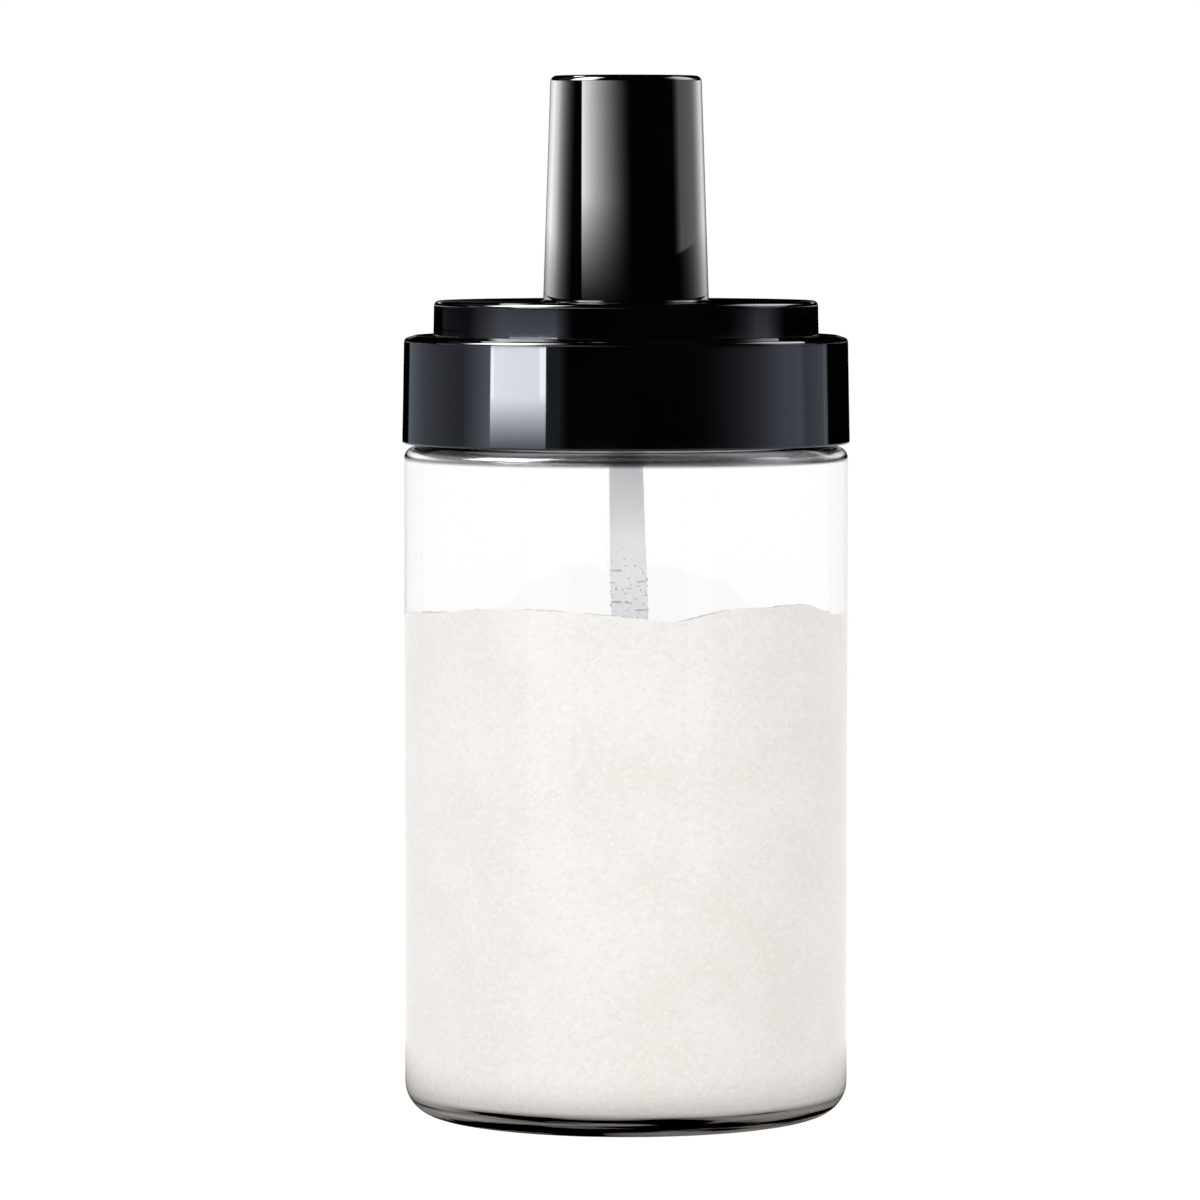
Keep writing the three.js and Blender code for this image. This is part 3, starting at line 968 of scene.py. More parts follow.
@dataclass(frozen=True)
class GlassBody:
    """The glass jar: hollow foot, rounded heel, straight wall, shoulder and threaded neck.

    Attributes:
        wall: thickness of the straight wall.
        floor: thickness of the floor.
        heel_radius: radius of the heel outside.
        inner_heel_radius: radius of the heel inside.
        foot_width: width of the flat foot ring.
        punt_depth: depth of the hollow under the floor.
        punt_slope: how wide the hollow's sloping side is.
        shoulder_radius: radius of the shoulder outside.
        shoulder_inset: how far the neck stands back from the wall.
        shoulder_thickness: thickness of the shoulder.
        inner_shoulder_radius: radius of the shoulder inside.
        throat_rounding: radius of the edge where the inside meets the neck.
        neck_height: height of the neck above the shoulder.
        neck_wall: thickness of the neck.
        neck_fillet: radius between shoulder and neck.
        lip_rounding: radius of the lip's two edges.
        thread_height: how far the thread stands out from the neck.
        thread_rise: how high above the shoulder the thread starts.
    """

    wall: float = 2.6 * MM
    floor: float = 3.3 * MM
    heel_radius: float = 5.2 * MM
    inner_heel_radius: float = 5.5 * MM
    foot_width: float = 2.4 * MM
    punt_depth: float = 1.4 * MM
    punt_slope: float = 3 * MM
    shoulder_radius: float = 1.8 * MM
    shoulder_inset: float = 4.25 * MM
    shoulder_thickness: float = 1.2 * MM
    inner_shoulder_radius: float = 0.7 * MM
    throat_rounding: float = 0.6 * MM
    neck_height: float = 12.8 * MM
    neck_wall: float = 2.8 * MM
    neck_fillet: float = 0.5 * MM
    lip_rounding: float = 0.8 * MM
    thread_height: float = 1.4 * MM
    thread_rise: float = 5 * MM

    def build(self) -> Object:
        """Turns the jar and adds the thread to its neck.

        Returns:
            The glass body.
        """
        outside = Span("glass_jar")
        radius = outside.radius
        shoulder_top = outside.top - self.neck_height
        headroom = shoulder_top - self.shoulder_thickness
        neck = radius - self.shoulder_inset
        mouth = neck - self.neck_wall
        foot_inner = radius - self.heel_radius - self.foot_width
        corners = (
            Corner(0, self.punt_depth),
            Corner(foot_inner - self.punt_slope, self.punt_depth, self.punt_depth),
            Corner(foot_inner, 0, self.punt_depth / 2),
            Corner(radius, 0, self.heel_radius, steps=12),
            Corner(radius, shoulder_top, self.shoulder_radius, steps=8),
            Corner(neck, shoulder_top, self.neck_fillet),
            Corner(neck, outside.top, self.lip_rounding),
            Corner(mouth, outside.top, self.lip_rounding),
            Corner(mouth, headroom, self.throat_rounding),
            Corner(radius - self.wall, headroom, self.inner_shoulder_radius, steps=8),
            Corner(radius - self.wall, self.floor, self.inner_heel_radius, steps=10),
            Corner(0, self.floor),
        )
        piece = turn("jar_glass", corners)
        crest = neck + self.thread_height
        join(piece, Thread().ridge("neck_thread", neck, crest, shoulder_top + self.thread_rise), Join.ADD)
        close_up(piece)
        smooth(piece)
        return piece

    def dress(self, wardrobe: Wardrobe) -> None:
        """Builds the jar and gives it its finish."""
        wardrobe.dress(self.build(), Slot.CLEAR_GLASS, Body.JAR, "glass_jar")


@dataclass(frozen=True)
class SaltBody:
    """The salt in the jar, lumpy on top, grainy all round and pressed against the glass.

    Attributes:
        level: height of its even surface.
        heel_radius: radius of its lower edge.
        wall_spacing: height between the rings of its side.
        top_spacing: width between the rings of its surface.
        steps: how many steps round it the rings have.
        press: how far it presses into the glass's surface, as grains do that touch it all over.
        sink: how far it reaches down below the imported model's foot.
        slope: place, rise and reach of the even slope in which its surface falls towards the back.
        slope_reserve: how much lower than the slope its surface may lie.
        mounds: place, height and reach of each soft mound.
        lump_size: width of the lumps on its surface.
        lump_height: height of those lumps.
        crumb_size: width of the crumbs among them.
        crumb_height: height of the crumbs.
    """

    level: float = 79.2 * MM
    heel_radius: float = 5.5 * MM
    wall_spacing: float = 1.5 * MM
    top_spacing: float = 0.5 * MM
    steps: int = 256
    press: float = 0.38 * MM
    sink: float = 1.3 * MM
    slope: Quad = (0 * MM, 32 * MM, -8 * MM, 66 * MM)
    mounds: tuple[Quad, ...] = (
        (-30 * MM, -6 * MM, 2.5 * MM, 20 * MM),
        (-21 * MM, -24.5 * MM, 2.6 * MM, 18 * MM),
        (-7 * MM, -31 * MM, 1.8 * MM, 16 * MM),
        (6.5 * MM, -31.6 * MM, 0.5 * MM, 12 * MM),
        (17 * MM, -27.5 * MM, 2.7 * MM, 12 * MM),
        (26.5 * MM, -18.3 * MM, 3.4 * MM, 13 * MM),
        (31 * MM, -4 * MM, 2.4 * MM, 14 * MM),
    )
    slope_reserve: float = 4 * MM
    lump_size: float = 3.2 * MM
    lump_height: float = 0.7 * MM
    crumb_size: float = 0.9 * MM
    crumb_height: float = 0.45 * MM

    def build(self) -> Object:
        """Turns the salt and roughens its surface.

        Returns:
            The salt.
        """
        outside = Span("salt_fill")
        radius = outside.radius + self.press
        foot = outside.foot - self.sink
        heel_top = foot + self.heel_radius
        wall_count = round((self.level - heel_top) / self.wall_spacing)
        top_count = round(radius / self.top_spacing)
        rise = (self.level - heel_top) / wall_count
        corners = [Corner(0, foot), Corner(radius, foot, self.heel_radius, steps=6)]
        corners += [Corner(radius, heel_top + rise * ring) for ring in range(1, wall_count + 1)]
        corners += [Corner(radius * (1 - ring / top_count), self.level) for ring in range(1, top_count + 1)]
        piece = turn("salt", corners, steps=self.steps)
        self._heap(piece)
        self._roughen(piece, "lumps", self.lump_size, self.lump_height)
        self._roughen(piece, "crumbs", self.crumb_size, self.crumb_height)
        smooth(piece, math.pi)
        return piece

    def dress(self, wardrobe: Wardrobe) -> None:
        """Builds the salt and gives it its finish."""
        wardrobe.dress(self.build(), Slot.SALT, Body.JAR, "salt_fill")

    def _heap(self, piece: Object) -> None:
        """Lets the surface slope towards the back and pulls the soft mounds up.

        Args:
            piece: the salt.
        """
        mesh = piece.data
        surface = {v.index: v.co.copy() for v in mesh.vertices if v.co.z > self.level - PICK_DISTANCE}
        pushes = [(*self.slope, "LINEAR"), *((*mound, "SMOOTH") for mound in self.mounds)]
        with editing(piece):
            for x, y, height, reach, falloff in pushes:
                top = min(surface, key=lambda index: math.hypot(surface[index].x - x, surface[index].y - y))
                bpy.ops.mesh.select_all(action="DESELECT")
                grid = bmesh.from_edit_mesh(mesh)
                grid.verts.ensure_lookup_table()
                grid.verts[top].select = True
                grid.select_flush_mode()
                bmesh.update_edit_mesh(mesh)
                bpy.ops.transform.translate(
                    value=(0, 0, height),
                    use_proportional_edit=True,
                    proportional_edit_falloff=falloff,
                    proportional_size=reach,
                )

    def _roughen(self, piece: Object, label: str, size: float, height: float) -> None:
        """Moves the surface up and down in a cloudy pattern.

        Args:
            piece: the salt.
            label: a name for the pattern.
            size: width of its bumps.
            height: height of its bumps.
        """
        group = piece.vertex_groups.get("surface") or piece.vertex_groups.new(name="surface")
        inner = Span("salt_fill").radius
        lowest = self.level + self.slope[2] - self.slope_reserve
        surface = [v for v in piece.data.vertices if v.co.z > lowest and math.hypot(v.co.x, v.co.y) < inner]
        group.add([v.index for v in surface], 1, "REPLACE")
        pattern = bpy.data.textures.new(label, "CLOUDS")
        pattern.noise_scale = size
        pattern.noise_depth = 2
        displace = piece.modifiers.new(label, "DISPLACE")
        displace.texture = pattern
        displace.texture_coords = "LOCAL"
        displace.direction = "Z"
        displace.strength = height
        displace.vertex_group = group.name
        apply_modifier(piece, displace)


@dataclass(frozen=True)
class ScrewRing:
    """The screw ring: a threaded satin sleeve pressed into a glossy shell, and the gasket under its flange.

    Attributes:
        sleeve_wall: thickness of the sleeve.
        sleeve_flange: thickness of the flange over the gasket.
        lead_in: chamfer at the sleeve's foot.
        collar_radius: radius of the collar in the mouth.
        collar_wall: thickness of that collar.
        collar_depth: how far the collar hangs below the flange.
        thread_height: how far the thread stands in from the sleeve.
        thread_rise: how high above the sleeve's foot the thread starts.
        shell_wall: thickness of the shell's side.
        shell_top_wall: thickness of the shell's top.
        shell_draft: how much narrower the shell is at its top.
        shell_crown: how far its outer part stands up round the disc.
        shell_play: gap between that part and the disc.
        shell_edge_width: how far in the sloping upper edge of the shell runs.
        shell_edge_drop: how far down that edge runs.
        shell_edge_rounding: radius of that edge's two corners.
        shell_foot_rounding: radius of the shell's lower edge.
        rim_step: how far the shell's opening stands back from the collar's bore.
        gasket_width: width of the gasket.
        gasket_rounding: radius of its edges.
    """

    sleeve_wall: float = 1 * MM
    sleeve_flange: float = 0.9 * MM
    lead_in: float = 0.4 * MM
    collar_radius: float = 25.2 * MM
    collar_wall: float = 1.2 * MM
    collar_depth: float = 6.5 * MM
    thread_height: float = 1.4 * MM
    thread_rise: float = 1.8 * MM
    shell_wall: float = 1.65 * MM
    shell_top_wall: float = 1.4 * MM
    shell_draft: float = 0.3 * MM
    shell_crown: float = 0.48 * MM
    shell_play: float = 0.3 * MM
    shell_edge_width: float = 1.7 * MM
    shell_edge_drop: float = 0.55 * MM
    shell_edge_rounding: float = 0.7 * MM
    shell_foot_rounding: float = 0.3 * MM
    rim_step: float = 0.6 * MM
    gasket_width: float = 3.4 * MM
    gasket_rounding: float = 0.25 * MM

    def sleeve(self) -> Object:
        """Turns the sleeve with its flange and collar, and adds its thread.

        Returns:
            The sleeve.
        """
        outside = Span("ring_sleeve")
        flange_foot = outside.top - self.sleeve_flange
        root = outside.radius - self.sleeve_wall
        bore = self.collar_radius - self.collar_wall
        corners = (
            Corner(outside.radius, outside.foot, self.lead_in / 2, 2),
            Corner(outside.radius, outside.top, self.lead_in / 2, 2),
            Corner(bore, outside.top, self.lead_in / 2, 2),
            Corner(bore, flange_foot - self.collar_depth, self.lead_in, 3),
            Corner(self.collar_radius, flange_foot - self.collar_depth, self.lead_in, 3),
            Corner(self.collar_radius, flange_foot),
            Corner(root, flange_foot, self.lead_in / 2, 2),
            Corner(root, outside.foot + self.lead_in),
            Corner(root + self.lead_in, outside.foot),
        )
        piece = turn("ring_threaded_sleeve", corners, ring=True)
        crest = root - self.thread_height
        ridge = Thread().ridge("sleeve_thread", root, crest, outside.foot + self.thread_rise)
        join(piece, ridge, Join.ADD)
        close_up(piece)
        smooth(piece)
        return piece

    def shell(self) -> Object:
        """Turns the glossy shell with its rounded upper edge.

        Returns:
            The shell.
        """
        outside = Span("ring_shell")
        top_radius = outside.radius - self.shell_draft
        opening = self.collar_radius - self.collar_wall + self.rim_step
        inner = outside.radius - self.shell_wall
        ceiling = outside.top - self.shell_top_wall
        crown = outside.top + self.shell_crown
        seat = Span("cap_disc").radius + self.shell_play
        corners = (
            Corner(outside.radius, outside.foot, self.shell_foot_rounding),
            Corner(top_radius, crown - self.shell_edge_drop, self.shell_edge_rounding, steps=6),
            Corner(top_radius - self.shell_edge_width, crown, self.shell_edge_rounding, steps=4),
            Corner(seat, crown, self.shell_play / 2, 3),
            Corner(seat, outside.top),
            Corner(opening, outside.top, self.shell_foot_rounding),
            Corner(opening, ceiling),
            Corner(inner, ceiling),
            Corner(inner, outside.foot, self.shell_foot_rounding / 2, steps=2),
        )
        return turn("ring_glossy_shell", corners, ring=True)

    def gasket(self) -> Object:
        """Turns the flat gasket with softened edges.

        Returns:
            The gasket.
        """
        outside = Span("lip_gasket")
        inner = outside.radius - self.gasket_width
        places = (
            (outside.radius, outside.foot),
            (outside.radius, outside.top),
            (inner, outside.top),
            (inner, outside.foot),
        )
        corners = [Corner(*place, self.gasket_rounding) for place in places]
        return turn("lip_sealing_gasket", corners, ring=True)

    def dress(self, wardrobe: Wardrobe) -> None:
        """Builds the gasket, the sleeve and the shell, and gives each its finish.

        Args:
            wardrobe: the finishes of the jar.
        """
        wardrobe.dress(self.gasket(), Slot.SILICONE, Body.GASKET, "lip_gasket")
        wardrobe.dress(self.sleeve(), Slot.SATIN_BLACK, Body.RING, "ring_sleeve")
        wardrobe.dress(self.shell(), Slot.GLOSS_BLACK, Body.RING, "ring_shell")


@dataclass(frozen=True)
class LiftOutCap:
    """The lift-out cap: glossy disc and handle over a satin liner with its seal.

    Attributes:
        disc_wall: thickness of the disc's side.
        disc_top_wall: thickness of the disc's top.
        disc_height: height of the disc at the seat of the handle.
        disc_dish: how much higher the disc's rim is than the seat of the handle.
        disc_edge_radius: radius of the disc's upper edge.
        disc_draft: how much narrower the disc's side is at its top.
        disc_foot_rounding: radius of the disc's lower edge.
        bead: how far the snap bead stands in.
        bead_rise: half the height of the snap bead.
        spigot_wall: thickness of the handle's spigot.
        handle_wall: thickness of the handle's side.
        handle_top_wall: thickness of the handle's top.
        handle_edge_radius: radius of the handle's upper edge.
        handle_top_radius: radius of the handle at its top.
        handle_flare: how far the handle's foot flares out.
        handle_flare_height: how high the flare runs.
        spigot_taper_share: share of the handle's taper that the spigot has.
        plug_radius: radius of the plug skirt.
        plug_wall: thickness of that skirt.
        plug_lead_in: radius of its lower edge.
        plug_foot: height of that edge.
        groove_depth: depth of the groove for the seal.
        groove_rise: how high above the plug's foot the groove starts.
        groove_height: height of the groove.
        flange: thickness of the liner's flange.
        socket_radius: radius of the spoon's socket.
        socket_bore: radius of its bore.
        socket_depth: depth of its bore.
        seal_width: how far in the seal reaches.
        seal_lip: how far its lips stand out.
        press_gap: gap between two pieces that are pressed together.
    """

    disc_wall: float = 2 * MM
    disc_top_wall: float = 1.8 * MM
    disc_height: float = 5.6 * MM
    disc_dish: float = 0.2 * MM
    disc_edge_radius: float = 0.8 * MM
    disc_draft: float = 0.12 * MM
    disc_foot_rounding: float = 0.3 * MM
    bead: float = 0.4 * MM
    bead_rise: float = 0.5 * MM
    spigot_wall: float = 1.7 * MM
    handle_wall: float = 1.8 * MM
    handle_top_wall: float = 2 * MM
    handle_edge_radius: float = 1 * MM
    handle_top_radius: float = 11.85 * MM
    handle_flare: float = 0.45 * MM
    handle_flare_height: float = 0.25 * MM
    spigot_taper_share: float = 1 / 7
    plug_radius: float = 23.2 * MM
    plug_wall: float = 2.2 * MM
    plug_lead_in: float = 0.5 * MM
    plug_foot: float = 112.7 * MM
    groove_depth: float = 1 * MM
    groove_rise: float = 1.6 * MM
    groove_height: float = 2.7 * MM
    flange: float = 1.6 * MM
    socket_radius: float = 3.5 * MM
    socket_bore: float = 2.8 * MM
    socket_depth: float = 16 * MM
    seal_width: float = 1.35 * MM
    seal_lip: float = 0.45 * MM
    press_gap: float = 0.1 * MM

    def handle(self) -> Object:
        """Turns the hollow tapered handle.

        Returns:
            The handle.
        """
        outside = Span("handle_shell")
        foot_radius = outside.radius - self.handle_flare
        ceiling = outside.top - self.handle_top_wall
        corners = (
            Corner(0, ceiling),
            Corner(self.handle_top_radius - self.handle_wall, ceiling, self.handle_edge_radius / 2),
            Corner(foot_radius - self.handle_wall, outside.foot),
            Corner(outside.radius, outside.foot),
            Corner(foot_radius, outside.foot + self.handle_flare_height),
            Corner(self.handle_top_radius, outside.top, self.handle_edge_radius, steps=8),
            Corner(0, outside.top),
        )
        return turn("handle", corners)

    def disc(self) -> Object:
        """Turns the disc with its snap bead and the spigot that carries the handle.

        Returns:
            The disc.
        """
        outside = Span("cap_disc")
        disc_top = outside.foot + self.disc_height
        rim_top = disc_top + self.disc_dish
        ceiling = disc_top - self.disc_top_wall
        inner = outside.radius - self.disc_wall
        bead_top = ceiling - self.press_gap - self.flange - self.press_gap
        handle = Span("handle_shell").radius
        handle_foot = handle - self.handle_flare
        spigot = handle_foot - self.handle_wall - self.press_gap
        spigot_top = spigot - (handle_foot - self.handle_top_radius) * self.spigot_taper_share
        corners = (
            Corner(0, ceiling),
            Corner(inner, ceiling),
            Corner(inner, bead_top),
            Corner(inner - self.bead, bead_top - self.bead_rise, self.bead / 2, 3),
            Corner(inner, bead_top - 2 * self.bead_rise),
            Corner(inner, outside.foot, self.disc_foot_rounding / 2, 2),
            Corner(outside.radius, outside.foot, self.disc_foot_rounding),
            Corner(outside.radius - self.disc_draft, rim_top, self.disc_edge_radius, steps=8),
            Corner(handle, disc_top),
            Corner(spigot, disc_top),
            Corner(spigot_top, outside.top, self.disc_foot_rounding),
            Corner(spigot_top - self.spigot_wall, outside.top, self.disc_foot_rounding),
            Corner(spigot - self.spigot_wall, disc_top),
            Corner(0, disc_top),
        )
        return turn("cap_top_disc", corners)

    def liner(self) -> Object:
        """Turns the liner with its plug skirt, seal groove and spoon socket.

        Returns:
            The liner.
        """
        outside = Span("cap_liner")
        flange_foot = outside.top - self.flange
        socket_top = outside.foot + self.socket_depth
        groove_foot = self.plug_foot + self.groove_rise
        groove = self.plug_radius - self.groove_depth
        plug_inner = self.plug_radius - self.plug_wall
        edge = self.plug_lead_in / 2
        corners = (
            Corner(0, socket_top),
            Corner(self.socket_bore, socket_top),
            Corner(self.socket_bore, outside.foot, edge / 2, 2),
            Corner(self.socket_radius, outside.foot, edge / 2, 2),
            Corner(self.socket_radius, flange_foot, edge),
            Corner(plug_inner, flange_foot, edge),
            Corner(plug_inner, self.plug_foot, edge, 3),
            Corner(self.plug_radius, self.plug_foot, self.plug_lead_in),
            Corner(self.plug_radius, groove_foot, edge / 2, 2),
            Corner(groove, groove_foot),
            Corner(groove, groove_foot + self.groove_height),
            Corner(self.plug_radius, groove_foot + self.groove_height, edge / 2, 2),
            Corner(self.plug_radius, flange_foot),
            Corner(outside.radius, flange_foot, edge, 3),
            Corner(outside.radius, outside.top, edge, 3),
            Corner(0, outside.top),
        )
        return turn("cap_plug_liner", corners)

    def seal(self) -> Object:
        """Turns the two-lipped seal.

        Returns:
            The seal.
        """
        outside = Span("plug_seal")
        height = outside.top - outside.foot
        waist = outside.radius - self.seal_lip
        inner = outside.radius - self.seal_width
        soft = self.seal_lip / 2
        corners = (
            Corner(waist, outside.foot, soft / 2, 2),
            Corner(outside.radius, outside.foot + height / 4, soft),
            Corner(waist, outside.foot + height / 2, soft),
            Corner(outside.radius, outside.top - height / 4, soft),
            Corner(waist, outside.top, soft / 2, 2),
            Corner(inner, outside.top, soft / 2, 2),
            Corner(inner, outside.foot, soft / 2, 2),
        )
        return turn("plug_lip_seal", corners, ring=True)

    def dress(self, wardrobe: Wardrobe) -> None:
        """Builds the seal, the liner, the disc and the handle, and gives each its finish.

        Args:
            wardrobe: the finishes of the jar.
        """
        wardrobe.dress(self.seal(), Slot.SILICONE, Body.SEAL, "plug_seal")
        wardrobe.dress(self.liner(), Slot.SATIN_BLACK, Body.CAP, "cap_liner")
        wardrobe.dress(self.disc(), Slot.GLOSS_BLACK, Body.CAP, "cap_disc")
        wardrobe.dress(self.handle(), Slot.GLOSS_BLACK, Body.CAP, "handle_shell")


@dataclass(frozen=True)
class Spoon:
    """The spoon in one clear moulding: tapered stem and tilted scoop.

    Attributes:
        stem_top_radius: radius of the stem in its socket.
        stem_radius: radius of the stem below its taper.
        socket_foot: height where the taper starts.
        taper_length: how long the taper is.
        end_radius: radius of the stem's lower tip.
        end_length: how long that tip is.
        bowl_length: length of the bowl.
        bowl_width: width of the bowl.
        bowl_depth: depth of the bowl.
        bowl_wall: thickness of the bowl.
        bowl_tilt: how far the bowl is tilted forwards.
        set_forward: how far the bowl's back stands in front of the axis.
        rim_rounding: radius of the rim's edges.
        overrun: how far the hollow's cut runs past the rim.
        stem_steps: how many steps the stem's spin takes.
        bowl_steps: how many steps go round the bowl.
        rim_steps: how many faces go across each edge of the rim.
        lean: how far it leans to the right below its socket.
    """

    stem_top_radius: float = 2.7 * MM
    stem_radius: float = 2.9 * MM
    socket_foot: float = 103 * MM
    taper_length: float = 22 * MM
    end_radius: float = 0.5 * MM
    end_length: float = 5 * MM
    bowl_length: float = 28 * MM
    bowl_width: float = 22 * MM
    bowl_depth: float = 9 * MM
    bowl_wall: float = 1.2 * MM
    bowl_tilt: float = math.radians(45)
    set_forward: float = 1.2 * MM
    rim_rounding: float = 0.45 * MM
    overrun: float = 2 * MM
    stem_steps: int = 64
    bowl_steps: int = 72
    rim_steps: int = 4
    lean: float = math.radians(1.4)

    def build(self) -> Object:
        """Models the scoop, cuts its hollow and joins the stem to its back.

        Returns:
            The spoon.
        """
        outside = Span("spoon")
        rise = self.bowl_length / 2 * math.sin(self.bowl_tilt)
        reach = self.bowl_length / 2 * math.cos(self.bowl_tilt)
        drop = math.hypot(rise, self.bowl_depth * math.cos(self.bowl_tilt))
        centre = Vector((0, -self.set_forward - reach, outside.foot + drop))
        piece = self._egg("spoon_moulding", centre, 0, 0)
        hollow = self._egg("scoop_hollow", centre, -self.bowl_wall, self.overrun)
        join(piece, hollow, Join.CUT, keep_tool=True)
        close_up(piece)
        self._round_rim(piece, centre)
        end_top = centre.z + rise - self.end_length / 2
        stem = turn(
            "spoon_stem",
            (
                Corner(0, end_top - self.end_length),
                Corner(self.end_radius, end_top - self.end_length),
                Corner(self.stem_radius, end_top, self.end_radius * 2),
                Corner(self.stem_radius, self.socket_foot - self.taper_length, self.taper_length / 2),
                Corner(self.stem_top_radius, self.socket_foot, self.end_radius),
                Corner(self.stem_top_radius, outside.top, self.rim_rounding),
                Corner(0, outside.top),
            ),
            steps=self.stem_steps,
        )
        join(stem, hollow, Join.CUT)
        join(piece, stem, Join.ADD)
        close_up(piece)
        lean_below(piece, self.socket_foot, self.lean)
        smooth(piece)
        return piece

    def dress(self, wardrobe: Wardrobe) -> None:
        """Builds the spoon and gives it its finish."""
        wardrobe.dress(self.build(), Slot.CLEAR_PLASTIC, Body.CAP, "spoon")

    def _egg(self, name: str, centre: Vector, grown: float, above: float) -> Object:
        """Makes the lower part of an egg shape, cut off level with the bowl's rim.

        Args:
            name: the piece's name.
            centre: centre of the rim.
            grown: how much larger than the bowl it is.
            above: how far above the rim it is cut off.

        Returns:
            A closed half egg in its place.
        """
        deselect_everything()
        rings = self.bowl_steps // 2
        bpy.ops.mesh.primitive_uv_sphere_add(segments=self.bowl_steps, ring_count=rings, radius=1)
        piece = named(name)
        with editing(piece):
            bpy.ops.transform.resize(
                value=(self.bowl_width / 2 + grown, self.bowl_length / 2 + grown, self.bowl_depth + grown)
            )
            bpy.ops.mesh.bisect(plane_co=(0, 0, above), plane_no=(0, 0, 1), use_fill=True, clear_outer=True)
        piece.rotation_euler = (self.bowl_tilt, 0, 0)
        piece.location = centre
        settle(piece)
        close_up(piece)
        return piece

    def _round_rim(self, piece: Object, centre: Vector) -> None:
        """Rounds both edges of the scoop's rim.

        Args:
            piece: the hollowed scoop.
            centre: centre of the rim.
        """
        normal = Vector((0, -math.sin(self.bowl_tilt), math.cos(self.bowl_tilt)))
        with editing(piece):
            pick(piece, lambda place: abs((place - centre).dot(normal)) < PICK_DISTANCE)
            bpy.ops.mesh.bevel(offset=self.rim_rounding, segments=self.rim_steps, affect="EDGES")


@dataclass(frozen=True)
class ClingingSalt:
    """Loose crumbs of salt that cling to the stem, thicker above the salt and sparse higher up.

    Attributes:
        spoon: the spoon whose stem they cling to.
        layers: for each layer, width of the crumbs, height of the lowest and the highest, and their number.
        turn_step: how far round the stem the next crumb sits.
        scatter_size: width of the pattern that moves the crumbs out of line.
        scatter: how far it moves them.
    """

    spoon: Spoon
    layers: tuple[tuple[float, float, float, int], ...] = (
        (0.34 * MM, 74 * MM, 84 * MM, 60),
        (0.28 * MM, 76 * MM, 88 * MM, 50),
        (0.22 * MM, 80 * MM, 90 * MM, 30),
    )
    turn_step: float = math.radians(137.5)
    scatter_size: float = 0.6 * MM
    scatter: float = 0.45 * MM

    def build(self) -> Object:
        """Lays the layers of crumbs round the stem and moves them out of line.

        Returns:
            The crumbs as one piece.
        """
        layers = [self._layer(*layer) for layer in self.layers]
        take(layers[0])
        for layer in layers:
            layer.select_set(True)
        bpy.ops.object.join()
        piece = named("salt_on_stem")
        pattern = bpy.data.textures.new("crumbs_on_stem", "CLOUDS")
        pattern.cloud_type = "COLOR"
        pattern.noise_scale = self.scatter_size
        displace = piece.modifiers.new("scatter", "DISPLACE")
        displace.texture = pattern
        displace.texture_coords = "LOCAL"
        displace.direction = "RGB_TO_XYZ"
        displace.strength = self.scatter
        apply_modifier(piece, displace)
        lean_below(piece, self.spoon.socket_foot, self.spoon.lean)
        close_up(piece)
        smooth(piece)
        return piece

    def dress(self, wardrobe: Wardrobe) -> None:
        """Builds the crumbs and gives them their finish."""
        wardrobe.dress(self.build(), Slot.SALT, Body.CAP)

    def _layer(self, size: float, foot: float, top: float, count: int) -> Object:
        """Winds equal crumbs round the stem.

        Args:
            size: width of a crumb.
            foot: height of the lowest crumb.
            top: height of the highest crumb.
            count: how many crumbs there are.

        Returns:
            The layer.
        """
        deselect_everything()
        place = (self.spoon.stem_radius, 0, foot)
        bpy.ops.mesh.primitive_ico_sphere_add(subdivisions=1, radius=size / 2, location=place)
        crumb = named("crumb")
        settle(crumb)
        step = bpy.data.objects.new("crumb_step", None)
        bpy.context.scene.collection.objects.link(step)
        step.location = (0, 0, (top - foot) / count)
        step.rotation_euler = (0, 0, self.turn_step)
        bpy.context.view_layer.update()
        array = crumb.modifiers.new("round_the_stem", "ARRAY")
        array.use_relative_offset = False
        array.use_object_offset = True
        array.offset_object = step
        array.count = count
        apply_modifier(crumb, array)
        bpy.data.objects.remove(step)
        return crumb


@dataclass(frozen=True)
class Glow:
    """A card of light on the light tent, which the glossy pieces mirror.

    Attributes:
        azimuths: where it starts, is full, fades and ends, in degrees from the front, right positive.
        heights: its foot, the heights where it is full and begins to fade, and its top.
        light: its brightness at its foot and where it is full.
        curve: how late it brightens between the two, 1 for evenly.
        lean: how many degrees it leans to the left over a metre of height.
        side_curve: how softly its light falls off at its sides, 1 for evenly.
    """

    azimuths: Quad
    heights: Quad
    light: Range
    curve: float = 2.0
    lean: float = 0.0
    side_curve: float = 2.0

    def shine(self, sheet: Sheet, azimuth: NodeSocket, height: NodeSocket) -> NodeSocket:
        """Works out the card's light at a place on the tent.

        Args:
            sheet: the tent's nodes.
            azimuth: the place's azimuth, in degrees.
            height: the place's height.

        Returns:
            The socket of the card's brightness there.
        """
        starts, full, fades, ends = self.azimuths
        foot, full_height, fades_height, top = self.heights
        low, high = self.light
        leaned = sheet.math("MULTIPLY_ADD", height, self.lean, azimuth) if self.lean else azimuth
        left = sheet.ranged(leaned, (starts, full), (0, 1))
        right = sheet.ranged(leaned, (fades, ends), (1, 0))
        across = sheet.math("POWER", sheet.math("MULTIPLY", left, right), self.side_curve)
        risen = sheet.math("POWER", sheet.ranged(height, (foot, full_height), (0, 1)), self.curve)
        bright = sheet.math("MULTIPLY_ADD", risen, high - low, low)
        above = sheet.math("GREATER_THAN", height, foot)
        inside = sheet.math("MULTIPLY", above, sheet.ranged(height, (fades_height, top), (1, 0)))
        return sheet.math("MULTIPLY", sheet.math("MULTIPLY", across, inside), bright)


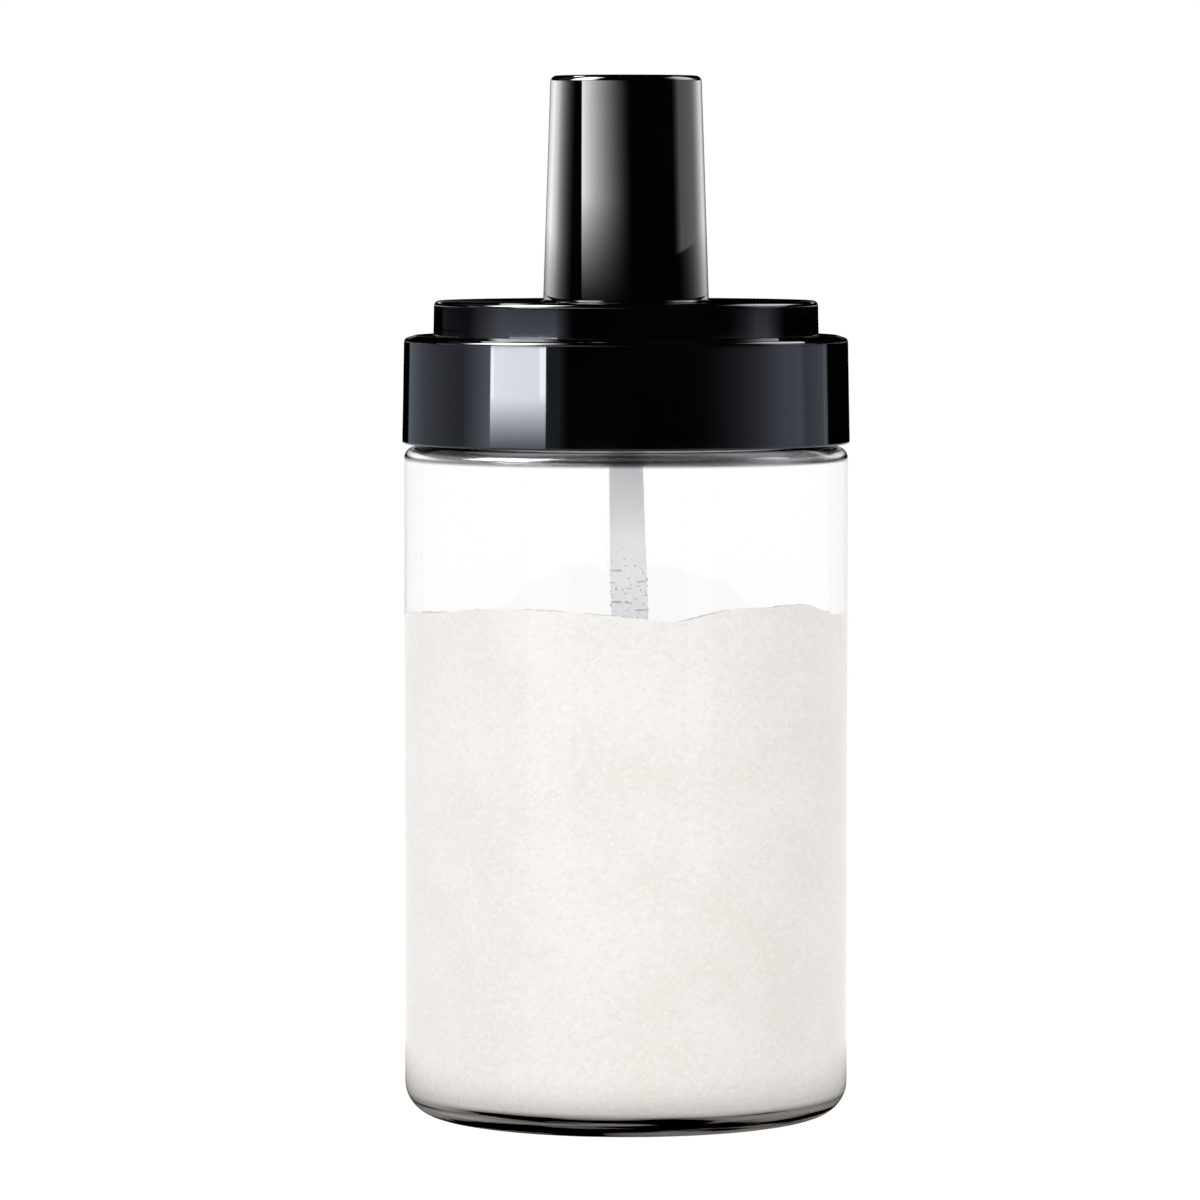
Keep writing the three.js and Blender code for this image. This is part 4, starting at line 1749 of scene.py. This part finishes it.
def show_to_mirrors_only(piece: Object) -> None:
    """Hides a staged piece from all but mirrored rays.

    Args:
        piece: the staged piece.
    """
    for ray in ("camera", "diffuse", "transmission", "volume_scatter", "shadow"):
        setattr(piece, "visible_" + ray, False)


@dataclass(frozen=True)
class Flag:
    """A flat black card half round the lid, which keeps the tent's light out of the ends of a rounded edge.

    Attributes:
        name: the card's name.
        height: how high it hangs.
        inner: radius of its inner edge.
        outer: radius of its outer edge.
        front: how far forwards it reaches, along Y.
        steps: how many steps a full round of it would have.
    """

    name: str
    height: float
    inner: float
    outer: float = 60 * MM
    front: float = -15 * MM
    steps: int = 96

    def hang(self) -> None:
        """Cuts the card and hangs it."""
        deselect_everything()
        middle = (0, 0, self.height)
        bpy.ops.mesh.primitive_circle_add(vertices=self.steps, radius=self.inner, location=middle)
        card = named(self.name)
        settle(card)
        grown = self.outer / self.inner
        with editing(card):
            bpy.ops.mesh.extrude_edges_move()
            bpy.ops.transform.resize(value=(grown, grown, 1), center_override=middle)
            bpy.ops.mesh.select_all(action="SELECT")
            bpy.ops.mesh.bisect(plane_co=(0, self.front, 0), plane_no=(0, -1, 0), clear_outer=True)
        paint = Paint(self.name + "_cloth")
        paint.fill({"Base Color": as_colour(BLACK), "Specular IOR Level": 0})
        card.data.materials.append(paint.material)
        show_to_mirrors_only(card)


# Belts of height on the tent that a piece mirrors: foot, full light, start of fading and top
GLASS_BELT: Quad = (-0.01, 0.03, 0.0939, 0.094)
RING_BELT: Quad = (0.104, 0.105, 0.1257, 0.1258)
RING_EDGE_BELT: Quad = (0.1152, 0.1153, 0.1257, 0.1258)
DISC_BELT: Quad = (0.1258, 0.1333, 0.1349, 0.135)
HANDLE_BELT: Quad = (0.135, 0.151, 0.2, 0.21)


@dataclass(frozen=True)
class LightTent:
    """A round tent of cloth with cards of light, which only mirrored rays see.

    It is so wide that, seen from the front, each piece mirrors a belt of its own. A height is measured along
    the cloth, up its wall and then in along its ceiling, and levelled so that a belt is the same all round.

    Attributes:
        radius: radius of its wall.
        top: height of its ceiling.
        steps: how many faces go round it.
        sag: how much lower a drafted piece mirrors the wall at its sides than at its front.
        cool_belt: heights between which the cloth is lit cooler.
        cool_dim: colour of dim light in the cooler belt.
        cool_bright: colour of bright light in the cooler belt.
        bright: brightness from which light counts as bright.
        glass_cards: the cards that the glass mirrors.
        ring_cards: the cards that the screw ring mirrors.
        disc_cards: the cards that the disc mirrors.
        handle_cards: the cards that the handle mirrors.
        edge_cards: the cards that the rounded upper edges mirror.
        flags: the black cards that keep the light out of the ends of those edges.
    """

    radius: float = 0.3
    top: float = 0.6
    steps: int = 144
    sag: float = 0.0106
    cool_belt: Range = (0.104, 0.135)
    cool_dim: Colour = (0.83, 0.93, 1.13)
    cool_bright: Colour = (0.89, 0.93, 1.02)
    bright: float = 14
    glass_cards: tuple[Glow, ...] = (
        Glow((-181, -180, 180, 181), (-0.01, 0.06, 0.1034, 0.1035), (1.0, 0.93)),
        Glow((-62, -48, -28, -16), GLASS_BELT, (1.0, 1.4)),
        Glow((16, 30, 42, 56), GLASS_BELT, (1.0, 1.3)),
    )
    ring_cards: tuple[Glow, ...] = (
        Glow((-147, -144, -70, -69.5), RING_BELT, (0.42, 0.42)),
        Glow((-104, -70, -69.5, -69), RING_BELT, (2.0, 2.0)),
        Glow((-70.3, -70, -39.5, -39.2), (0.1045, 0.1151, 0.1257, 0.1258), (2.0, 18.4), 1.4),
        Glow((-70.3, -69.5, -68, -66.5), RING_EDGE_BELT, (22, 22)),
        Glow((-44.5, -42.5, -39.5, -39.2), RING_EDGE_BELT, (23, 23)),
        Glow((-39.5, -39, -33, -27), RING_BELT, (0.28, 0.28)),
        Glow((30, 82, 96, 116), RING_BELT, (0.98, 0.98)),
        Glow((92, 95, 121, 122), RING_BELT, (0.58, 0.58)),
        Glow((115.5, 117, 119.5, 121), RING_BELT, (0.78, 0.78)),
    )
    disc_cards: tuple[Glow, ...] = (
        Glow((-112, -76, -41, -29.5), DISC_BELT, (1.6, 1.1), 1.0),
        Glow((-141, -136, -90, -80), DISC_BELT, (0.06, 0.05)),
        Glow((58, 80, 88, 107), DISC_BELT, (0.75, 0.5), 1.0),
    )
    handle_cards: tuple[Glow, ...] = (
        Glow((-43.2, -41.7, -40, 34), (0.1383, 0.1624, 0.2, 0.21), (0, 17.4), lean=149),
        Glow((-178, -136, -120, -79), HANDLE_BELT, (2.6, 5.6)),
        Glow((74, 134, 145, 174), HANDLE_BELT, (1.7, 3.0)),
    )
    edge_cards: tuple[Glow, ...] = (
        Glow((-99, -89, -56, -42), (0.24, 0.28, 0.62, 0.66), (30, 30)),
        Glow((-150, -141, -128, -118), (0.47, 0.5, 0.56, 0.6), (18, 18)),
        Glow((-140, -125, -96, -86), (0.2, 0.25, 0.44, 0.46), (0.08, 0.12), 1.0),
        Glow((70, 84, 130, 142), (0.15, 0.18, 0.45, 0.5), (1.4, 1.4)),
        Glow((72, 96, 126, 138), (0.27, 0.33, 0.47, 0.56), (7, 7)),
    )
    flags: tuple[Flag, ...] = (
        Flag("flag_over_ring", 0.1234, 35.7 * MM),
        Flag("flag_over_disc", 0.129, 31.2 * MM),
    )

    def pitch(self) -> None:
        """Stands the tent round the jar."""
        deselect_everything()
        bpy.ops.mesh.primitive_cylinder_add(
            vertices=self.steps,
            radius=self.radius,
            depth=self.top,
            location=(0, 0, self.top / 2 + MM),
            end_fill_type="NOTHING",
        )
        tent = named("light_tent")
        settle(tent)
        with editing(tent):
            pick(tent, lambda place: place.z > self.top)
            bpy.ops.mesh.edge_face_add()
        tent.data.materials.append(self._cloth())
        show_to_mirrors_only(tent)
        for flag in self.flags:
            flag.hang()

    def _cloth(self) -> Material:
        """Paints the cards on the cloth.

        Returns:
            The cloth's material, which only gives light.
        """
        sheet = Paint("tent_cloth")
        sheet.tree.nodes.remove(sheet.shader)
        spot = sheet.spot()
        axes = sheet.add("SeparateXYZ", {0: spot}).outputs
        forward = sheet.math("MULTIPLY", axes["Y"], -1.0)
        turned = sheet.math("ARCTAN2", axes["X"], forward)
        azimuth = sheet.math("MULTIPLY", turned, math.degrees(1))
        flat_spot = sheet.add("VectorMath", {0: spot, 1: (1, 1, 0)}, operation="MULTIPLY").outputs[0]
        from_wall = sheet.math("SUBTRACT", self.radius, sheet.from_axis(flat_spot))
        along = sheet.math("ADD", axes["Z"], from_wall)
        sideways = sheet.math("SUBTRACT", 1.0, sheet.math("COSINE", sheet.math("MULTIPLY", turned, 0.5)))
        height = sheet.math("MULTIPLY_ADD", sideways, self.sag, along)
        light: object = 0.0
        belts = (self.glass_cards, self.ring_cards, self.disc_cards, self.handle_cards, self.edge_cards)
        for card in chain.from_iterable(belts):
            light = sheet.math("MAXIMUM", light, card.shine(sheet, azimuth, height))
        low, high = self.cool_belt
        above = sheet.math("GREATER_THAN", height, low)
        in_belt = sheet.math("MULTIPLY", above, sheet.math("LESS_THAN", height, high))
        brightness = sheet.ranged(light, (0, self.bright), (0, 1))
        cool = sheet.tinted(brightness, self.cool_dim, self.cool_bright)
        colour = sheet.tinted(in_belt, WHITE, cool)
        sheet.show(sheet.add("Emission", {"Color": colour, "Strength": light}))
        sheet.material.cycles.emission_sampling = "NONE"
        return sheet.material


@dataclass(frozen=True)
class Lamp:
    """A soft square lamp that lights the jar but isn't mirrored in it.

    Attributes:
        name: the lamp's name.
        power: its power in watts.
        place: where it hangs.
        colour: the colour of its light.
        size: its width.
    """

    name: str
    power: float
    place: Place
    colour: Colour = WHITE
    size: float = 0.7

    def hang(self, target: Place) -> None:
        """Hangs the lamp and aims it.

        Args:
            target: the point that it shines at.
        """
        data = bpy.data.lights.new(self.name, "AREA")
        data.size = self.size
        data.energy = self.power
        data.color = self.colour
        lamp = bpy.data.objects.new(self.name, data)
        bpy.context.scene.collection.objects.link(lamp)
        lamp.location = self.place
        aim = Vector(target) - lamp.location
        lamp.rotation_euler = aim.to_track_quat("-Z", "Y").to_euler()
        lamp.visible_glossy = False
        lamp.visible_transmission = False


@dataclass(frozen=True)
class Studio:
    """The pale floor, the lamps, the light tent that the gloss mirrors, and the camera.

    Attributes:
        floor_size: width of the floor.
        floor_colour: the floor's colour where it lights the jar.
        floor_roughness: roughness of the floor.
        floor_paint: the floor's colour where it is seen.
        floor_glow: how much its seen colour is lifted towards white.
        painted_floor_shadow: distances between which a painted shadow round the jar turns from dark to white,
            as glass and gloss show the floor.
        sky: brightness of the surroundings as a source of light.
        lamps: the lamps.
        target: the point that the lamps shine at.
        lens: focal length of the camera, in millimetres.
        sensor: width of its sensor, in millimetres.
        viewpoint: where the camera stands.
        look_down: how far it looks down.
    """

    floor_size: float = 1.9
    floor_colour: Colour = (0.8, 0.8, 0.8)
    floor_roughness: float = 0.9
    floor_paint: Colour = (0.42, 0.42, 0.42)
    floor_glow: float = 0.7
    painted_floor_shadow: Range = (45 * MM, 110 * MM)
    sky: float = 0.73
    lamps: tuple[Lamp, ...] = (
        Lamp("lamp_front_left", 4.2, (-0.75, -0.95, 0.6)),
        Lamp("lamp_front_right", 1.9, (0.85, -0.85, 0.45), colour=(1, 0.92, 0.85)),
        Lamp("lamp_overhead", 2.8, (0.0, 0.1, 1.1), size=0.8),
    )
    target: Place = (0, 0, 0.08)
    lens: float = 210.54
    sensor: float = 36
    viewpoint: Place = (-0.004084, -1.10246, 0.14568)
    look_down: float = math.radians(3.358)

    def build(self) -> None:
        """Sets up the floor, the tent, the lamps, the world and the camera."""
        self._floor()
        LightTent().pitch()
        for lamp in self.lamps:
            lamp.hang(self.target)
        self._world()
        self._camera()

    def _floor(self) -> None:
        """Lays the pale floor, which shows white to the camera but keeps the jar's shadow; glass and gloss
        see only a painted shadow, dark under the jar and white further out.
        """
        deselect_everything()
        bpy.ops.mesh.primitive_plane_add(size=self.floor_size)
        floor = named("floor")
        sheet = Paint("floor_paint")
        sheet.fill({"Base Color": as_colour(self.floor_colour), "Roughness": self.floor_roughness})
        sheet.fill({"Specular IOR Level": 0})
        ray = sheet.add("LightPath").outputs
        lit = sheet.add("BsdfDiffuse", {"Color": as_colour(self.floor_paint)})
        glow = sheet.add("Emission", {"Color": as_colour(WHITE), "Strength": self.floor_glow})
        white = sheet.add("AddShader", {0: lit.outputs[0], 1: glow.outputs[0]})
        # Painted shadow: what glass and gloss see of the floor is dark under the jar and turns white further
        # out.
        shade = sheet.ranged(sheet.from_axis(sheet.spot()), self.painted_floor_shadow, (0, 1))
        with_painted_shade = sheet.add("Emission", {"Strength": shade})
        bent = sheet.math("MAXIMUM", ray["Is Glossy Ray"], ray["Is Transmission Ray"])
        shaders = {1: sheet.shader.outputs[0], 2: white.outputs[0]}
        mixed = sheet.add("MixShader", {0: ray["Is Camera Ray"], **shaders})
        sheet.show(sheet.add("MixShader", {0: bent, 1: mixed.outputs[0], 2: with_painted_shade.outputs[0]}))
        floor.data.materials.append(sheet.material)

    def _world(self) -> None:
        """Makes the surroundings white to the eye and through glass, and a plain light for the rest."""
        world = bpy.data.worlds.new("studio")
        world.use_nodes = True
        bpy.context.scene.world = world
        sheet = Sheet(world.node_tree)
        ray = sheet.add("LightPath").outputs
        seen = sheet.math("MAXIMUM", ray["Is Camera Ray"], ray["Is Transmission Ray"])
        colour = sheet.tinted(seen, (self.sky,) * 3, WHITE)
        sheet.feed(world.node_tree.nodes["Background"], {"Color": colour})
        world.cycles.sampling_method = "NONE"

    def _camera(self) -> None:
        """Places the camera at the photograph's viewpoint."""
        data = bpy.data.cameras.new("camera")
        data.sensor_width = self.sensor
        data.lens = self.lens
        camera = bpy.data.objects.new("camera", data)
        bpy.context.scene.collection.objects.link(camera)
        camera.location = self.viewpoint
        camera.rotation_euler = (math.radians(90) - self.look_down, 0, 0)
        bpy.context.scene.camera = camera


def main() -> None:
    """Builds and dresses every piece of the jar, and sets up the studio."""
    logging.basicConfig(level=logging.INFO, format="%(message)s")
    bpy.context.scene.view_settings.view_transform = "Standard"
    wardrobe = Wardrobe()
    spoon = Spoon()
    for assembly in (GlassBody(), SaltBody(), ScrewRing(), LiftOutCap(), spoon, ClingingSalt(spoon)):
        assembly.dress(wardrobe)
    Studio().build()


if __name__ == "__main__":
    main()
